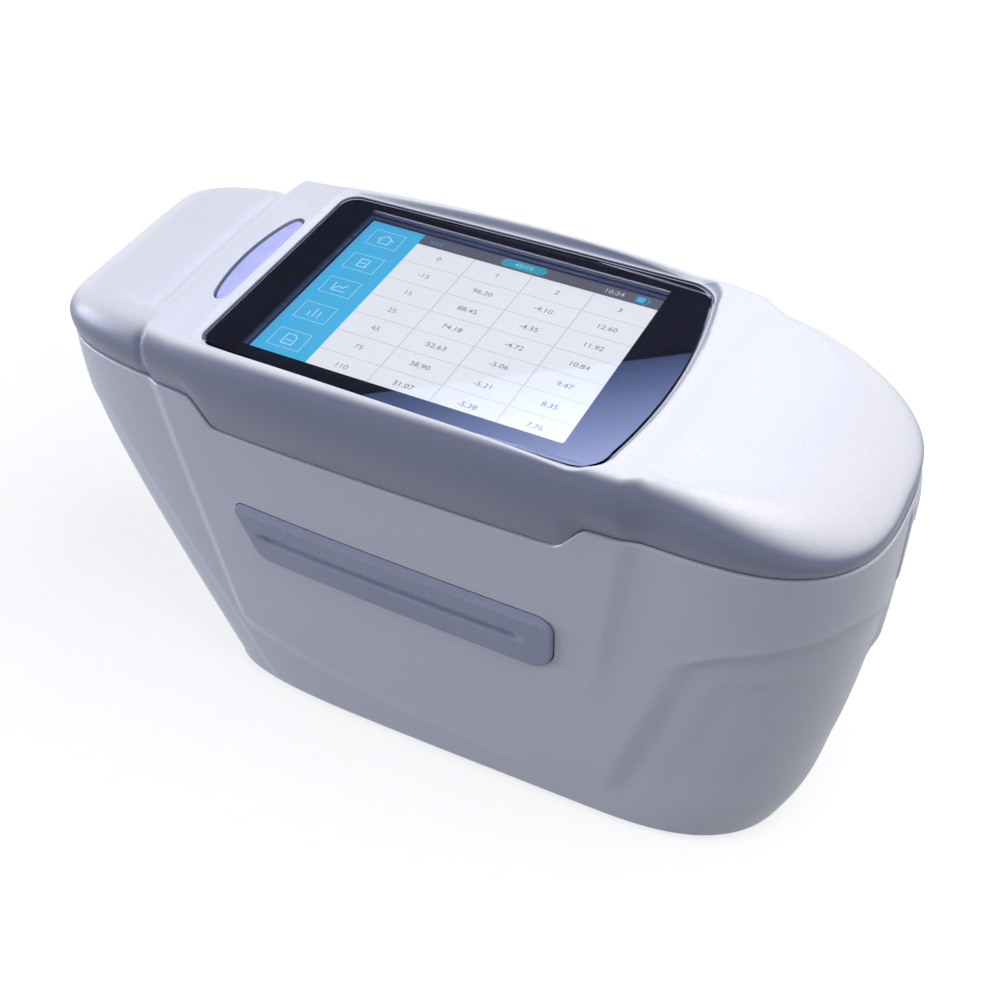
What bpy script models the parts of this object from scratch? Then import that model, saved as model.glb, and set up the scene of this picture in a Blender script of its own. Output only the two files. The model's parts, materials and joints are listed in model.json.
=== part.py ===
"""Hand-held multi-angle spectrophotometer, built as separate pieces at real size.

Metres, +Z up. X runs along the casing: the button end is at -X and the port end at +X.
The user stands at -Y. The origin is on the table, under the middle of the casing.
"""

import math

import bmesh
import bpy
import numpy as np
from mathutils import Matrix, Vector

# Fits shared by all pieces
GAP = 0.0003
CUT_OVERRUN = 0.004
SMOOTH_ANGLE = math.radians(32)

# Optics: an arch over the aperture carries one lamp tube and six receiver tubes
ARCH_INNER = 0.0340
ARCH_OUTER = 0.0420
ARCH_WIDTH = 0.0260
ARCH_STEPS = 24
RECEIVER_ANGLES = (-65.0, -30.0, 0.0, 20.0, 30.0, 60.0)
LAMP_ANGLE = -45.0
RECEIVER_RADIUS = 0.0026
RECEIVER_BORE = 0.0017
LAMP_TUBE_RADIUS = 0.0045
LAMP_TUBE_BORE = 0.0035
TUBE_START = 0.0330
TUBE_END = 0.0500
SENSOR_RADIUS = 0.0032
SENSOR_LENGTH = 0.0050
LENS_THICKNESS = 0.0022
LENS_BACK_SHARE = 0.6
LAMP_BOARD_SIDE = 0.0130
LAMP_BOARD_THICKNESS = 0.0016
TUBE_SIDES = 16
PILLAR_SIDES = 6

# Height of the plate over the optics, and of the casing's seam over that plate
CHASSIS_SPACE = 0.0067
CHASSIS_HEIGHT = TUBE_END + GAP + SENSOR_LENGTH + CHASSIS_SPACE
PORT_BAY_HEIGHT = 0.0273
SEAM_HEIGHT = CHASSIS_HEIGHT + PORT_BAY_HEIGHT

# Casing in plan: two superellipse halves meet on the line where it is widest
LEFT_POWER = 6.5
RIGHT_POWER = 2.75
HOUSING_BOTTOM = 0.001
CENTRE_AT_SEAM = 0.05416
CENTRE_AT_BASE = 0.03916
HALF_WIDTH_AT_SEAM = 0.0318
HALF_WIDTH_AT_BASE = 0.0300
LEFT_END_AT_SEAM = -0.09164
LEFT_END_AT_BASE = -0.05884
LEFT_KINK_DROP = 0.0148
LEFT_KINK_HEIGHT = SEAM_HEIGHT - LEFT_KINK_DROP
LEFT_LEAN_POWER = 1.15
RIGHT_END_AT_SEAM = 0.09116
RIGHT_SWEEP = 0.0115
RIGHT_SWEEP_POWER = 3.4
COLUMNS = 96
COLUMN_FOCUS = 2.0
COLUMN_FOCUS_SPREAD = 0.005

# Rings of the two shells: climb 0 to 1 is the wall, 1 to 2 the rounded edge, shares go from 0 to 1
CLIMBS = (0.0, 0.5, 1.0, 1.25, 1.5, 1.75, 2.0)
INNER_CLIMBS = (0.0, 1.0, 1.5, 2.0)
INNER_TOP_SHARES = (0.75, 0.4)
TOP_SHARES = (0.2, 0.4, 0.6, 0.8, 0.92)
HOUSING_LEVEL_SHARES = (0.94, 0.84, 0.70, 0.52, 0.34, 0.24, 0.19, 0.10)
HOUSING_INNER_SHARES = (0.84, 0.6, 0.3, 0.1)

# Middle section, which stands proud of the two rounded ends
MIDDLE_LEFT = -0.06284
MIDDLE_RIGHT = 0.05116
MIDDLE_BLEND = 0.0035
MIDDLE_STEP = 0.0006
MIDDLE_BOW = 0.0009
MIDDLE_LEFT_LEAN = 0.22
MIDDLE_RIGHT_LEAN = 0.12
PANEL_FOOT_HEIGHT = 0.0180
PANEL_FOOT_BLEND = 0.0060

# The cover's skirt drops into a notch of the housing on both long sides
SKIRT_DROP = 0.0063
SKIRT_LEFT = -0.04934
SKIRT_RIGHT = 0.03266
SKIRT_RAMP = 0.0070

# Walls
HOUSING_WALL = 0.0022
HOUSING_FLOOR = 0.0026
COVER_WALL = 0.0022
COVER_ROOF = 0.0025
BOTTOM_CHAMFER = 0.0012

# Top cover
GLASS_RISE = 0.0147
GLASS_TOP = SEAM_HEIGHT + GLASS_RISE
COVER_INSET = 0.00035
SIDE_FLARE = 0.0013
END_FLARE = -0.0004
MIDDLE_EXTRA_FLARE = 0.0010
MIDDLE_BOW_FLARE = 0.0014
ARCH_RISE = 0.0022
ARCH_CENTRE = 0.00066
ARCH_LEFT_REACH = 0.0560
ARCH_RIGHT_REACH = 0.0780
SHOULDER_RISE = 0.0001
RIDGE_WIDTH = 0.0022
LEFT_LOBE_SINK = 0.0006
LEFT_LOBE_TOP = GLASS_TOP - LEFT_LOBE_SINK
LEFT_LOBE_DROP = 0.0045
LEFT_LOBE_REACH = 0.0310
RIGHT_LOBE_RISE = 0.0008
RIGHT_LOBE_TOP = GLASS_TOP + RIGHT_LOBE_RISE
RIGHT_LOBE_DROP = 0.0085
RIGHT_LOBE_REACH = 0.0400
LOBE_WIDEST_SINK = 0.0095
LOBE_WIDEST = GLASS_TOP - LOBE_WIDEST_SINK
MIDDLE_WIDEST_SINK = 0.0035
MIDDLE_WIDEST = GLASS_TOP - MIDDLE_WIDEST_SINK
LOBE_ROUND = 0.0085
MIDDLE_ROUND = 0.0020
RIGHT_END_ROUND = 0.0140

# Touch glass
SCREEN_X = -0.00584
LCD_LENGTH = 0.0769
LCD_WIDTH = 0.0590
GLASS_LEFT_BORDER = 0.00535
GLASS_RIGHT_BORDER = 0.00940
GLASS_LEFT_SIDE_BORDER = 0.0010
GLASS_RIGHT_SIDE_BORDER = 0.0029
GLASS_SIDE_BOW = 0.0003
GLASS_LEFT = SCREEN_X - LCD_LENGTH / 2 - GLASS_LEFT_BORDER
GLASS_RIGHT = SCREEN_X + LCD_LENGTH / 2 + GLASS_RIGHT_BORDER
GLASS_LEFT_HALF_WIDTH = LCD_WIDTH / 2 + GLASS_LEFT_SIDE_BORDER
GLASS_RIGHT_HALF_WIDTH = LCD_WIDTH / 2 + GLASS_RIGHT_SIDE_BORDER
GLASS_RIGHT_BOW = 0.0028
GLASS_LEFT_CORNER = 0.0040
GLASS_RIGHT_CORNER = 0.0065
GLASS_THICKNESS = 0.0011
GLUE_THICKNESS = 0.0002
EDGE_POINTS = 9
CORNER_POINTS = 6

# Display and what holds it
LCD_THICKNESS = 0.0032
VIEW_BORDER = 0.0012
VIEW_LENGTH = LCD_LENGTH - 2 * VIEW_BORDER
VIEW_WIDTH = LCD_WIDTH - 2 * VIEW_BORDER
VIEW_CORNER = 0.0010
BRACKET_THICKNESS = 0.0010
BRACKET_WIDTH = 0.0520
BOARD_LEFT = -0.06134
BOARD_RIGHT = 0.03466
BOARD_MARGIN = 0.0020
BOARD_WIDTH = BRACKET_WIDTH - BOARD_MARGIN
BOARD_THICKNESS = 0.0016
BOARD_DROP = 0.0048
STANDOFF_RADIUS = 0.0022
STANDOFF_INSET = 0.0060

# Measuring button and the switch under it
BUTTON_X = -0.05274
BUTTON_LENGTH = 0.0328
BUTTON_DEPTH = 0.0045
BUTTON_END_WIDTH = 0.0022
BUTTON_END_POWER = 16
BUTTON_RECESS = 0.0001
BUTTON_FLANGE = 0.0009
BUTTON_FLANGE_THICKNESS = 0.0008
BUTTON_TRAVEL = 0.0008
BUTTON_ARC_POINTS = 14
SWITCH_SIDE = 0.0062
SWITCH_HEIGHT = 0.0036
SWITCH_FLOOR = 0.0005
PLUNGER_RADIUS = 0.0016

# Side grips, one on each long side
GRIP_LEFT = -0.04414
GRIP_RIGHT = 0.03146
GRIP_DROP = 0.0262
GRIP_TILT = 0.0021
GRIP_TOP_LEFT = SEAM_HEIGHT - GRIP_DROP
GRIP_TOP_RIGHT = GRIP_TOP_LEFT - GRIP_TILT
GRIP_LEFT_HEIGHT = 0.0143
GRIP_RIGHT_HEIGHT = 0.0148
GRIP_BOTTOM_LEFT = GRIP_TOP_LEFT - GRIP_LEFT_HEIGHT
GRIP_BOTTOM_RIGHT = GRIP_TOP_RIGHT - GRIP_RIGHT_HEIGHT
GRIP_END_LEAN = 0.0035
GRIP_LEFT_TOP_CORNER = 0.0018
GRIP_LEFT_BOTTOM_CORNER = 0.0050
GRIP_RIGHT_TOP_CORNER = 0.0040
GRIP_RIGHT_BOTTOM_CORNER = 0.0050
GRIP_POCKET = 0.0012
GRIP_PROUD = 0.0005
GRIP_GROOVE_HEIGHT = 0.0030
GRIP_GROOVE_DEPTH = 0.0006
GRIP_GROOVE_INSET = 0.0065
GRIP_COLUMNS = 24
GRIP_ROWS = 3

# Base plate, aperture and what fastens them
APERTURE_X = 0.01266
OPENING_HALF_LENGTH = 0.0460
OPENING_HALF_WIDTH = 0.0150
OPENING_CORNER = 0.0040
PLATE_LEDGE_X = 0.0080
PLATE_LEDGE_Y = 0.0070
PLATE_FLANGE = 0.0025
RING_OUTER_RADIUS = 0.0117
RING_INNER_RADIUS = 0.0060
RING_PROUD = 0.0006
RING_CHAMFER = 0.0012
SCREW_INSET = 0.0040
SCREW_HEAD_RADIUS = 0.0026
SCREW_HEAD_HEIGHT = 0.0009
SCREW_SHANK_RADIUS = 0.0012
SCREW_LENGTH = 0.0048
SCREW_SLOT_WIDTH = 0.0007
SCREW_SLOT_DEPTH = 0.0004
FOOT_RADIUS = 0.0045
FOOT_POCKET = 0.0008
FOOT_LEFT_X = -0.04784
FOOT_LEFT_Y = 0.0165
FOOT_RIGHT_X = 0.07016
FOOT_RIGHT_Y = 0.0125

# Chassis over the optics
PILLAR_RADIUS = 0.0025
PILLAR_INSET_X = 0.0080
PILLAR_INSET_Y = 0.0055
CHASSIS_THICKNESS = 0.0020
CHASSIS_LEFT = -0.04534
CHASSIS_RIGHT = 0.07686
CHASSIS_HALF_WIDTH = 0.0220
BATTERY_LENGTH = 0.0680
BATTERY_WIDTH = 0.0370
BATTERY_HEADROOM = 0.0072
BATTERY_X = 0.00466
CLAMP_LENGTH = 0.0140
CLAMP_THICKNESS = 0.0012

# Right end: covered ports, rocker switch and strap anchor
END_CENTRE_Y = 0.0112
FLAP_HALF_WIDTH = 0.0085
FLAP_RIM = 0.0019
FLAP_HEIGHT = 0.0202
FLAP_TOP = SEAM_HEIGHT - FLAP_RIM
FLAP_BOTTOM = FLAP_TOP - FLAP_HEIGHT
FLAP_POCKET = 0.0009
FLAP_PROUD = 0.0005
FLAP_COLUMNS = 9
FLAP_ROWS = 3
PORT_WINDOW_SIDE = 0.0025
PORT_WINDOW_HALF_WIDTH = FLAP_HALF_WIDTH - PORT_WINDOW_SIDE
PORT_WINDOW_INSET = 0.0018
PORT_WINDOW_BOTTOM = FLAP_BOTTOM + PORT_WINDOW_INSET
PORT_WINDOW_TOP = FLAP_TOP - PORT_WINDOW_INSET
PORT_BOARD_X = 0.07286
PORT_BOARD_THICKNESS = 0.0016
PORT_BOARD_HALF_WIDTH = 0.0100
PORT_BOARD_TOP_SPACE = 0.0027
PORT_FRONT_X = 0.08206
USB_DROP = 0.0012
USB_HALF_WIDTH = 0.0045
USB_HALF_HEIGHT = 0.0022
USB_HEIGHT = PORT_WINDOW_TOP - USB_DROP - USB_HALF_HEIGHT
USB_WALL = 0.0004
USB_DEPTH = 0.0050
CHARGE_HALF_SIDE = 0.0045
SOCKET_SPACE = 0.0010
CHARGE_HEIGHT = USB_HEIGHT - USB_HALF_HEIGHT - SOCKET_SPACE - CHARGE_HALF_SIDE
CHARGE_BORE_RADIUS = 0.0031
CHARGE_DEPTH = 0.0070
ROCKER_HALF_WIDTH = 0.0055
ROCKER_HALF_HEIGHT = 0.0029
ROCKER_SPACE = 0.0018
ROCKER_CLEARANCE = 0.0005
ROCKER_HEIGHT = FLAP_BOTTOM - ROCKER_SPACE - ROCKER_HALF_HEIGHT
ROCKER_BACK = 0.0030
ROCKER_REAR_GAP = 0.0012
ROCKER_HEEL_SHARE = 0.45
ROCKER_DISH = 0.0007
ROCKER_SLICES = 5
SWITCH_CASE_X = 0.07816
SWITCH_CASE_RIM = 0.0012
STRAP_HALF_WIDTH = 0.0054
STRAP_HALF_HEIGHT = 0.0022
STRAP_SPACE = 0.0039
STRAP_HEIGHT = ROCKER_HEIGHT - ROCKER_HALF_HEIGHT - STRAP_SPACE - STRAP_HALF_HEIGHT
STRAP_CUP_X = 0.07666
STRAP_CUP_WALL = 0.0012
STRAP_BAR_RADIUS = 0.0009
STRAP_BAR_INSET = 0.0024
INSERT_CLEARANCE = 0.0034


def smooth(value):
    """Soft step from 0 to 1 while value goes from 0 to 1."""
    t = np.clip(value, 0.0, 1.0)
    return t * t * (3.0 - 2.0 * t)


def clear_scene():
    for item in list(bpy.data.objects):
        bpy.data.objects.remove(item, do_unlink=True)


def material(name, colour, roughness, metallic=0.0):
    made = bpy.data.materials.new(name)
    made.use_nodes = True
    shader = made.node_tree.nodes["Principled BSDF"]
    shader.inputs["Base Color"].default_value = (*colour, 1.0)
    shader.inputs["Roughness"].default_value = roughness
    shader.inputs["Metallic"].default_value = metallic
    made.diffuse_color = (*colour, 1.0)
    return made


def place(name, shape, finish, location=(0.0, 0.0, 0.0), parent=None, turn=0.0):
    """Makes a named object from a bmesh, at its place, smooth where it is round."""
    mesh = bpy.data.meshes.new(name)
    bmesh.ops.recalc_face_normals(shape, faces=shape.faces)
    shape.to_mesh(mesh)
    shape.free()
    mesh.shade_smooth()
    mesh.set_sharp_from_angle(angle=SMOOTH_ANGLE)
    mesh.materials.append(finish)
    item = bpy.data.objects.new(name, mesh)
    item.location = location
    item.rotation_euler = (0.0, turn, 0.0)
    item.parent = parent
    bpy.context.scene.collection.objects.link(item)
    return item


def cut(target, cutter):
    cutter.hide_render = True
    cutter.display_type = "WIRE"
    change = target.modifiers.new("cut_" + cutter.name, "BOOLEAN")
    change.operation = "DIFFERENCE"
    change.object = cutter


def join_rings(shape, loops):
    for lower, upper in zip(loops, loops[1:]):
        for index, start in enumerate(lower):
            after = (index + 1) % len(lower)
            shape.faces.new((start, lower[after], upper[after], upper[index]))


def rings_to_shape(rings):
    """Joins closed rings of equal length with faces, and caps the first and last ring."""
    shape = bmesh.new()
    loops = [[shape.verts.new(point) for point in ring] for ring in rings]
    join_rings(shape, loops)
    shape.faces.new(loops[0][::-1])
    shape.faces.new(loops[-1])
    return shape


def rings_to_loop(rings):
    """Joins closed rings with faces, and the last ring with the first: a body with a hole."""
    shape = bmesh.new()
    loops = [[shape.verts.new(point) for point in ring] for ring in rings]
    join_rings(shape, loops + loops[:1])
    return shape


def add_box(shape, low, high):
    size = Vector(high) - Vector(low)
    middle = (Vector(high) + Vector(low)) / 2
    where = Matrix.Translation(middle) @ Matrix.Diagonal((*size, 1.0))
    bmesh.ops.create_cube(shape, size=1.0, matrix=where)


def box(low, high):
    shape = bmesh.new()
    add_box(shape, low, high)
    return shape


def circle(radius, sides=TUBE_SIDES):
    turn = np.arange(sides) * 2 * math.pi / sides
    return np.column_stack([radius * np.cos(turn), radius * np.sin(turn)])


def stack(outlines, heights):
    """Closed solid from plan outlines laid one over the other at the given heights."""
    rings = [[(x, y, height) for x, y in outline] for outline, height in zip(outlines, heights)]
    return rings_to_shape(rings)


def turned(profile, sides=TUBE_SIDES):
    """Solid turned about Z from (radius, height) pairs that start and end on the axis side."""
    return stack([circle(radius, sides) for radius, _ in profile], [height for _, height in profile])


def turned_loop(profile, sides=TUBE_SIDES):
    """Ring-shaped solid about Z from the (radius, height) corners of its section."""
    return rings_to_loop([level_ring(circle(radius, sides), height) for radius, height in profile])


def tube(outer, bore, bottom, top):
    return turned_loop([(outer, bottom), (outer, top), (bore, top), (bore, bottom)])


def rounded_rectangle(half_length, half_width, corner, steps=4):
    points = []
    for quarter, (sign_x, sign_y) in enumerate(((1, 1), (-1, 1), (-1, -1), (1, -1))):
        for step in range(steps + 1):
            turn = (quarter + step / steps) * math.pi / 2
            points.append((sign_x * (half_length - corner) + corner * math.cos(turn),
                           sign_y * (half_width - corner) + corner * math.sin(turn)))
    return np.array(points)


def left_end(height):
    """The button end is upright above a kink and leans straight inwards below it."""
    share = np.maximum((LEFT_KINK_HEIGHT - height) / (LEFT_KINK_HEIGHT - HOUSING_BOTTOM), 0.0)
    return LEFT_END_AT_SEAM + share ** LEFT_LEAN_POWER * (LEFT_END_AT_BASE - LEFT_END_AT_SEAM)


def down_share(height):
    return np.clip((SEAM_HEIGHT - height) / (SEAM_HEIGHT - HOUSING_BOTTOM), 0.0, 1.0)


def casing_plan(turn, height):
    """Plan point and outward direction at each turn angle, at each height."""
    down = down_share(height)
    centre = CENTRE_AT_SEAM + down * (CENTRE_AT_BASE - CENTRE_AT_SEAM)
    half_width = HALF_WIDTH_AT_SEAM + down * (HALF_WIDTH_AT_BASE - HALF_WIDTH_AT_SEAM)
    right_reach = RIGHT_END_AT_SEAM - RIGHT_SWEEP * down ** RIGHT_SWEEP_POWER - centre
    left_reach = centre - left_end(height)
    cosine = np.cos(turn)
    sine = np.sin(turn)
    right = cosine >= 0
    reach = np.where(right, right_reach, left_reach)
    power = np.where(right, RIGHT_POWER, LEFT_POWER)
    across = np.abs(cosine) ** (2 / power)
    aside = np.abs(sine) ** (2 / power)
    x = centre + np.sign(cosine) * reach * across
    y = np.sign(sine) * half_width * aside
    out_x = np.sign(cosine) * across ** (power - 1) / reach
    out_y = np.sign(sine) * aside ** (power - 1) / half_width
    length = np.hypot(out_x, out_y)
    return x, y, out_x / length, out_y / length


def middle_share(x, height):
    """1 on the proud middle section, 0 on the rounded ends, soft between."""
    below = np.maximum(SEAM_HEIGHT - height, 0.0)
    left = MIDDLE_LEFT + below * MIDDLE_LEFT_LEAN
    right = MIDDLE_RIGHT - below * MIDDLE_RIGHT_LEAN
    return smooth((x - left) / MIDDLE_BLEND + 0.5) * smooth((right - x) / MIDDLE_BLEND + 0.5)


def middle_bow(x):
    """1 half way along the middle section, falling to 0 at both of its ends."""
    half = (MIDDLE_RIGHT - MIDDLE_LEFT) / 2
    along = (x - (MIDDLE_RIGHT + MIDDLE_LEFT) / 2) / half
    return np.clip(1.0 - along * along, 0.0, 1.0)


def middle_proud(x, height):
    """How far the middle section stands out of the plan curve."""
    foot = smooth((height - PANEL_FOOT_HEIGHT) / PANEL_FOOT_BLEND + 0.5)
    return (MIDDLE_STEP + MIDDLE_BOW * middle_bow(x)) * middle_share(x, height) * foot


def seam_height(x):
    """Height of the seam: level, with a drop with sloping ends along the middle."""
    rise_in = (x - SKIRT_LEFT) / SKIRT_RAMP + 0.5
    rise_out = (SKIRT_RIGHT - x) / SKIRT_RAMP + 0.5
    return SEAM_HEIGHT - SKIRT_DROP * np.clip(np.minimum(rise_in, rise_out), 0.0, 1.0)


def column_turns(count=COLUMNS):
    """Turn angles spaced evenly along the seam, and closer at its steps and notch ends."""
    turn = np.linspace(0.0, 2 * math.pi, 4001)
    x, y, _, _ = casing_plan(turn, SEAM_HEIGHT)
    step = np.hypot(np.diff(x), np.diff(y))
    middle = (x[1:] + x[:-1]) / 2
    weight = np.ones_like(middle)
    for place_x in (SKIRT_LEFT, SKIRT_RIGHT, MIDDLE_LEFT, MIDDLE_RIGHT):
        weight += COLUMN_FOCUS * np.exp(-((middle - place_x) / COLUMN_FOCUS_SPREAD) ** 2)
    travelled = np.concatenate([[0.0], np.cumsum(step * weight)])
    return np.interp(np.arange(count) / count * travelled[-1], travelled, turn)


def housing_ring(turn, height, outward):
    """Ring of the housing's wall; outward moves it along the wall's plan direction."""
    x, y, out_x, out_y = casing_plan(turn, height)
    push = middle_proud(x, height) + outward
    return np.column_stack([x + out_x * push, y + out_y * push, height * np.ones_like(x)])


def wall_y(x, height):
    """Half width of the housing's side wall where x and height are given."""
    down = down_share(height)
    centre = CENTRE_AT_SEAM + down * (CENTRE_AT_BASE - CENTRE_AT_SEAM)
    half_width = HALF_WIDTH_AT_SEAM + down * (HALF_WIDTH_AT_BASE - HALF_WIDTH_AT_SEAM)
    reach = np.where(x < centre, centre - left_end(height), RIGHT_END_AT_SEAM - centre)
    power = np.where(x < centre, LEFT_POWER, RIGHT_POWER)
    ratio = np.clip(np.abs(x - centre) / reach, 0.0, 1.0)
    return half_width * (1.0 - ratio ** power) ** (1.0 / power) + middle_proud(x, height)


def wall_x(y, height):
    """Where the housing's right end wall stands at a given y and height."""
    down = down_share(height)
    centre = CENTRE_AT_SEAM + down * (CENTRE_AT_BASE - CENTRE_AT_SEAM)
    half_width = HALF_WIDTH_AT_SEAM + down * (HALF_WIDTH_AT_BASE - HALF_WIDTH_AT_SEAM)
    reach = RIGHT_END_AT_SEAM - RIGHT_SWEEP * down ** RIGHT_SWEEP_POWER - centre
    ratio = np.abs(y) / half_width
    return centre + reach * (1.0 - ratio ** RIGHT_POWER) ** (1.0 / RIGHT_POWER)


def glass_outline(grow=0.0):
    """Plan of the touch glass: it widens to the right, where its edge is bowed."""
    left = GLASS_LEFT - grow
    right = GLASS_RIGHT + grow

    def side(x):
        share = (x - left) / (right - left)
        taper = GLASS_LEFT_HALF_WIDTH + share * (GLASS_RIGHT_HALF_WIDTH - GLASS_LEFT_HALF_WIDTH)
        return taper + grow + GLASS_SIDE_BOW * 4 * share * (1 - share)

    points = []
    corner = GLASS_RIGHT_CORNER
    shoulder_x = right - GLASS_RIGHT_BOW - corner
    shoulder_y = side(shoulder_x) - corner
    lean = math.atan2(GLASS_RIGHT_BOW, shoulder_y)
    bow_radius = (shoulder_y ** 2 + GLASS_RIGHT_BOW ** 2) / (2 * GLASS_RIGHT_BOW)
    for step in range(-EDGE_POINTS, EDGE_POINTS + 1):
        y = shoulder_y * step / (EDGE_POINTS + 1)
        points.append((right - bow_radius + math.sqrt(bow_radius ** 2 - y ** 2), y))
    for step in range(CORNER_POINTS + 1):
        turn = lean + (math.pi / 2 - lean) * step / CORNER_POINTS
        points.append((shoulder_x + corner * math.cos(turn), shoulder_y + corner * math.sin(turn)))
    corner = GLASS_LEFT_CORNER
    elbow_x = left + corner
    elbow_y = side(elbow_x) - corner
    for step in range(1, EDGE_POINTS):
        x = shoulder_x + (elbow_x - shoulder_x) * step / EDGE_POINTS
        points.append((x, side(x)))
    for step in range(CORNER_POINTS + 1):
        turn = math.pi / 2 * (1 + step / CORNER_POINTS)
        points.append((elbow_x + corner * math.cos(turn), elbow_y + corner * math.sin(turn)))
    upper = [point for point in points if point[1] > 0]
    lower = [(x, -y) for x, y in reversed(upper)]
    tip = [(right, 0.0)]
    return np.array(tip + upper + lower)


def outside_glass(x, y):
    """Distance by which a point lies outside the glass, 0 on the glass."""
    outline = glass_outline()
    nearest = np.full(np.shape(x), np.inf)
    inside = np.zeros(np.shape(x), bool)
    for (ax, ay), (bx, by) in zip(outline, np.roll(outline, -1, axis=0)):
        ux, uy = bx - ax, by - ay
        along = np.clip(((x - ax) * ux + (y - ay) * uy) / (ux * ux + uy * uy), 0.0, 1.0)
        nearest = np.minimum(nearest, np.hypot(x - ax - along * ux, y - ay - along * uy))
        crosses = (ay > y) != (by > y)
        rise = np.where(by == ay, 1.0, by - ay)
        inside ^= crosses & (x < ax + (y - ay) * ux / rise)
    return np.where(inside, 0.0, nearest)


def cover_top(x, y):
    """Height of the cover's top: an arched middle with a sunk glass, and two lower lobes."""
    reach = np.where(x < ARCH_CENTRE, ARCH_LEFT_REACH, ARCH_RIGHT_REACH)
    arch = ARCH_RISE * (1.0 - ((x - ARCH_CENTRE) / reach) ** 2)
    rise = SHOULDER_RISE + np.maximum(arch, 0.0)
    middle = GLASS_TOP + rise * smooth(outside_glass(x, y) / RIDGE_WIDTH)
    beyond_left = np.maximum(MIDDLE_LEFT - x, 0.0) / LEFT_LOBE_REACH
    beyond_right = np.maximum(x - MIDDLE_RIGHT, 0.0) / RIGHT_LOBE_REACH
    lobe = np.where(x < SCREEN_X,
                    LEFT_LOBE_TOP - LEFT_LOBE_DROP * beyond_left ** 2,
                    RIGHT_LOBE_TOP - RIGHT_LOBE_DROP * beyond_right ** 2)
    bevel = smooth(outside_glass(x, y) / RIDGE_WIDTH)
    lobe = GLASS_TOP + (lobe - GLASS_TOP) * bevel
    share = middle_share(x, SEAM_HEIGHT)
    return share * middle + (1.0 - share) * lobe


def cover_ring(turn, climb, thickness, drop):
    """Ring of the cover: climb 0 to 1 goes up the wall, 1 to 2 goes round the edge."""
    x, y, out_x, out_y = casing_plan(turn, SEAM_HEIGHT)
    share = middle_share(x, SEAM_HEIGHT)
    widest = LOBE_WIDEST + share * (MIDDLE_WIDEST - LOBE_WIDEST)
    flare = END_FLARE + (SIDE_FLARE - END_FLARE) * np.abs(out_y)
    flare += share * (MIDDLE_EXTRA_FLARE + MIDDLE_BOW_FLARE * middle_bow(x))
    end = smooth((x - MIDDLE_RIGHT) / (RIGHT_END_AT_SEAM - MIDDLE_RIGHT))
    edge_round = LOBE_ROUND + share * (MIDDLE_ROUND - LOBE_ROUND) + end * (RIGHT_END_ROUND - LOBE_ROUND)
    bottom = seam_height(x) + GAP
    base = middle_proud(x, SEAM_HEIGHT) - COVER_INSET - thickness
    if climb <= 1.0:
        push = base + flare * math.sin(climb * math.pi / 2)
        height = bottom + climb * (widest - bottom)
        return np.column_stack([x + out_x * push, y + out_y * push, height - drop * climb])
    swing = (climb - 1.0) * math.pi / 2
    push = base + flare - edge_round * (1.0 - math.cos(swing))
    plan_x = x + out_x * push
    plan_y = y + out_y * push
    height = widest + (cover_top(plan_x, plan_y) - widest) * math.sin(swing)
    return np.column_stack([plan_x, plan_y, height - drop])


def drawn_to(outline, ring):
    """For each ring point, the outline's point in the same direction from the glass centre."""
    centre = (GLASS_LEFT + GLASS_RIGHT) / 2
    bearing = np.arctan2(outline[:, 1], outline[:, 0] - centre)
    order = np.argsort(bearing)
    wanted = np.arctan2(ring[:, 1], ring[:, 0] - centre)
    x = np.interp(wanted, bearing[order], outline[order, 0], period=2 * math.pi)
    y = np.interp(wanted, bearing[order], outline[order, 1], period=2 * math.pi)
    return np.column_stack([x, y])


def glass_plan(grow=0.0):
    """The glass outline at the same columns as the cover, so that glass and seat stay parallel."""
    return drawn_to(glass_outline(grow), cover_ring(column_turns(), CLIMBS[-1], 0.0, 0.0))


def level_ring(plan, height):
    return np.column_stack([plan, np.full(len(plan), height)])


def build_top_cover(finish):
    """One skin: up the wall, over the top to the glass seat, down through it and back inside."""
    turn = column_turns()
    rings = [cover_ring(turn, climb, 0.0, 0.0) for climb in CLIMBS]
    edge = rings[-1]
    seat = glass_plan(GAP)
    for share in TOP_SHARES:
        plan = edge[:, :2] + share * (seat - edge[:, :2])
        rings.append(np.column_stack([plan, cover_top(plan[:, 0], plan[:, 1])]))
    seat_floor = GLASS_TOP - GLASS_THICKNESS - GLUE_THICKNESS - GAP
    view = rounded_rectangle(VIEW_LENGTH / 2, VIEW_WIDTH / 2, VIEW_CORNER)
    view[:, 0] += SCREEN_X
    hole = drawn_to(view, edge)
    rings += [level_ring(seat, GLASS_TOP), level_ring(seat, seat_floor)]
    rings += [level_ring(hole, seat_floor), level_ring(hole, ledge_underside())]
    inner_edge = cover_ring(turn, INNER_CLIMBS[-1], COVER_WALL, COVER_ROOF)
    for share in INNER_TOP_SHARES:
        plan = inner_edge[:, :2] + share * (hole - inner_edge[:, :2])
        rings.append(np.column_stack([plan, cover_top(plan[:, 0], plan[:, 1]) - COVER_ROOF]))
    rings += [cover_ring(turn, climb, COVER_WALL, COVER_ROOF) for climb in reversed(INNER_CLIMBS)]
    cover = place("top_cover", rings_to_loop(rings), finish)
    slot = button_outline(GAP)
    opening = stack([slot, slot], [GLASS_TOP - CUT_OVERRUN, GLASS_TOP + CUT_OVERRUN])
    cut(cover, place("button_cutter", opening, finish))
    return cover


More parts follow.
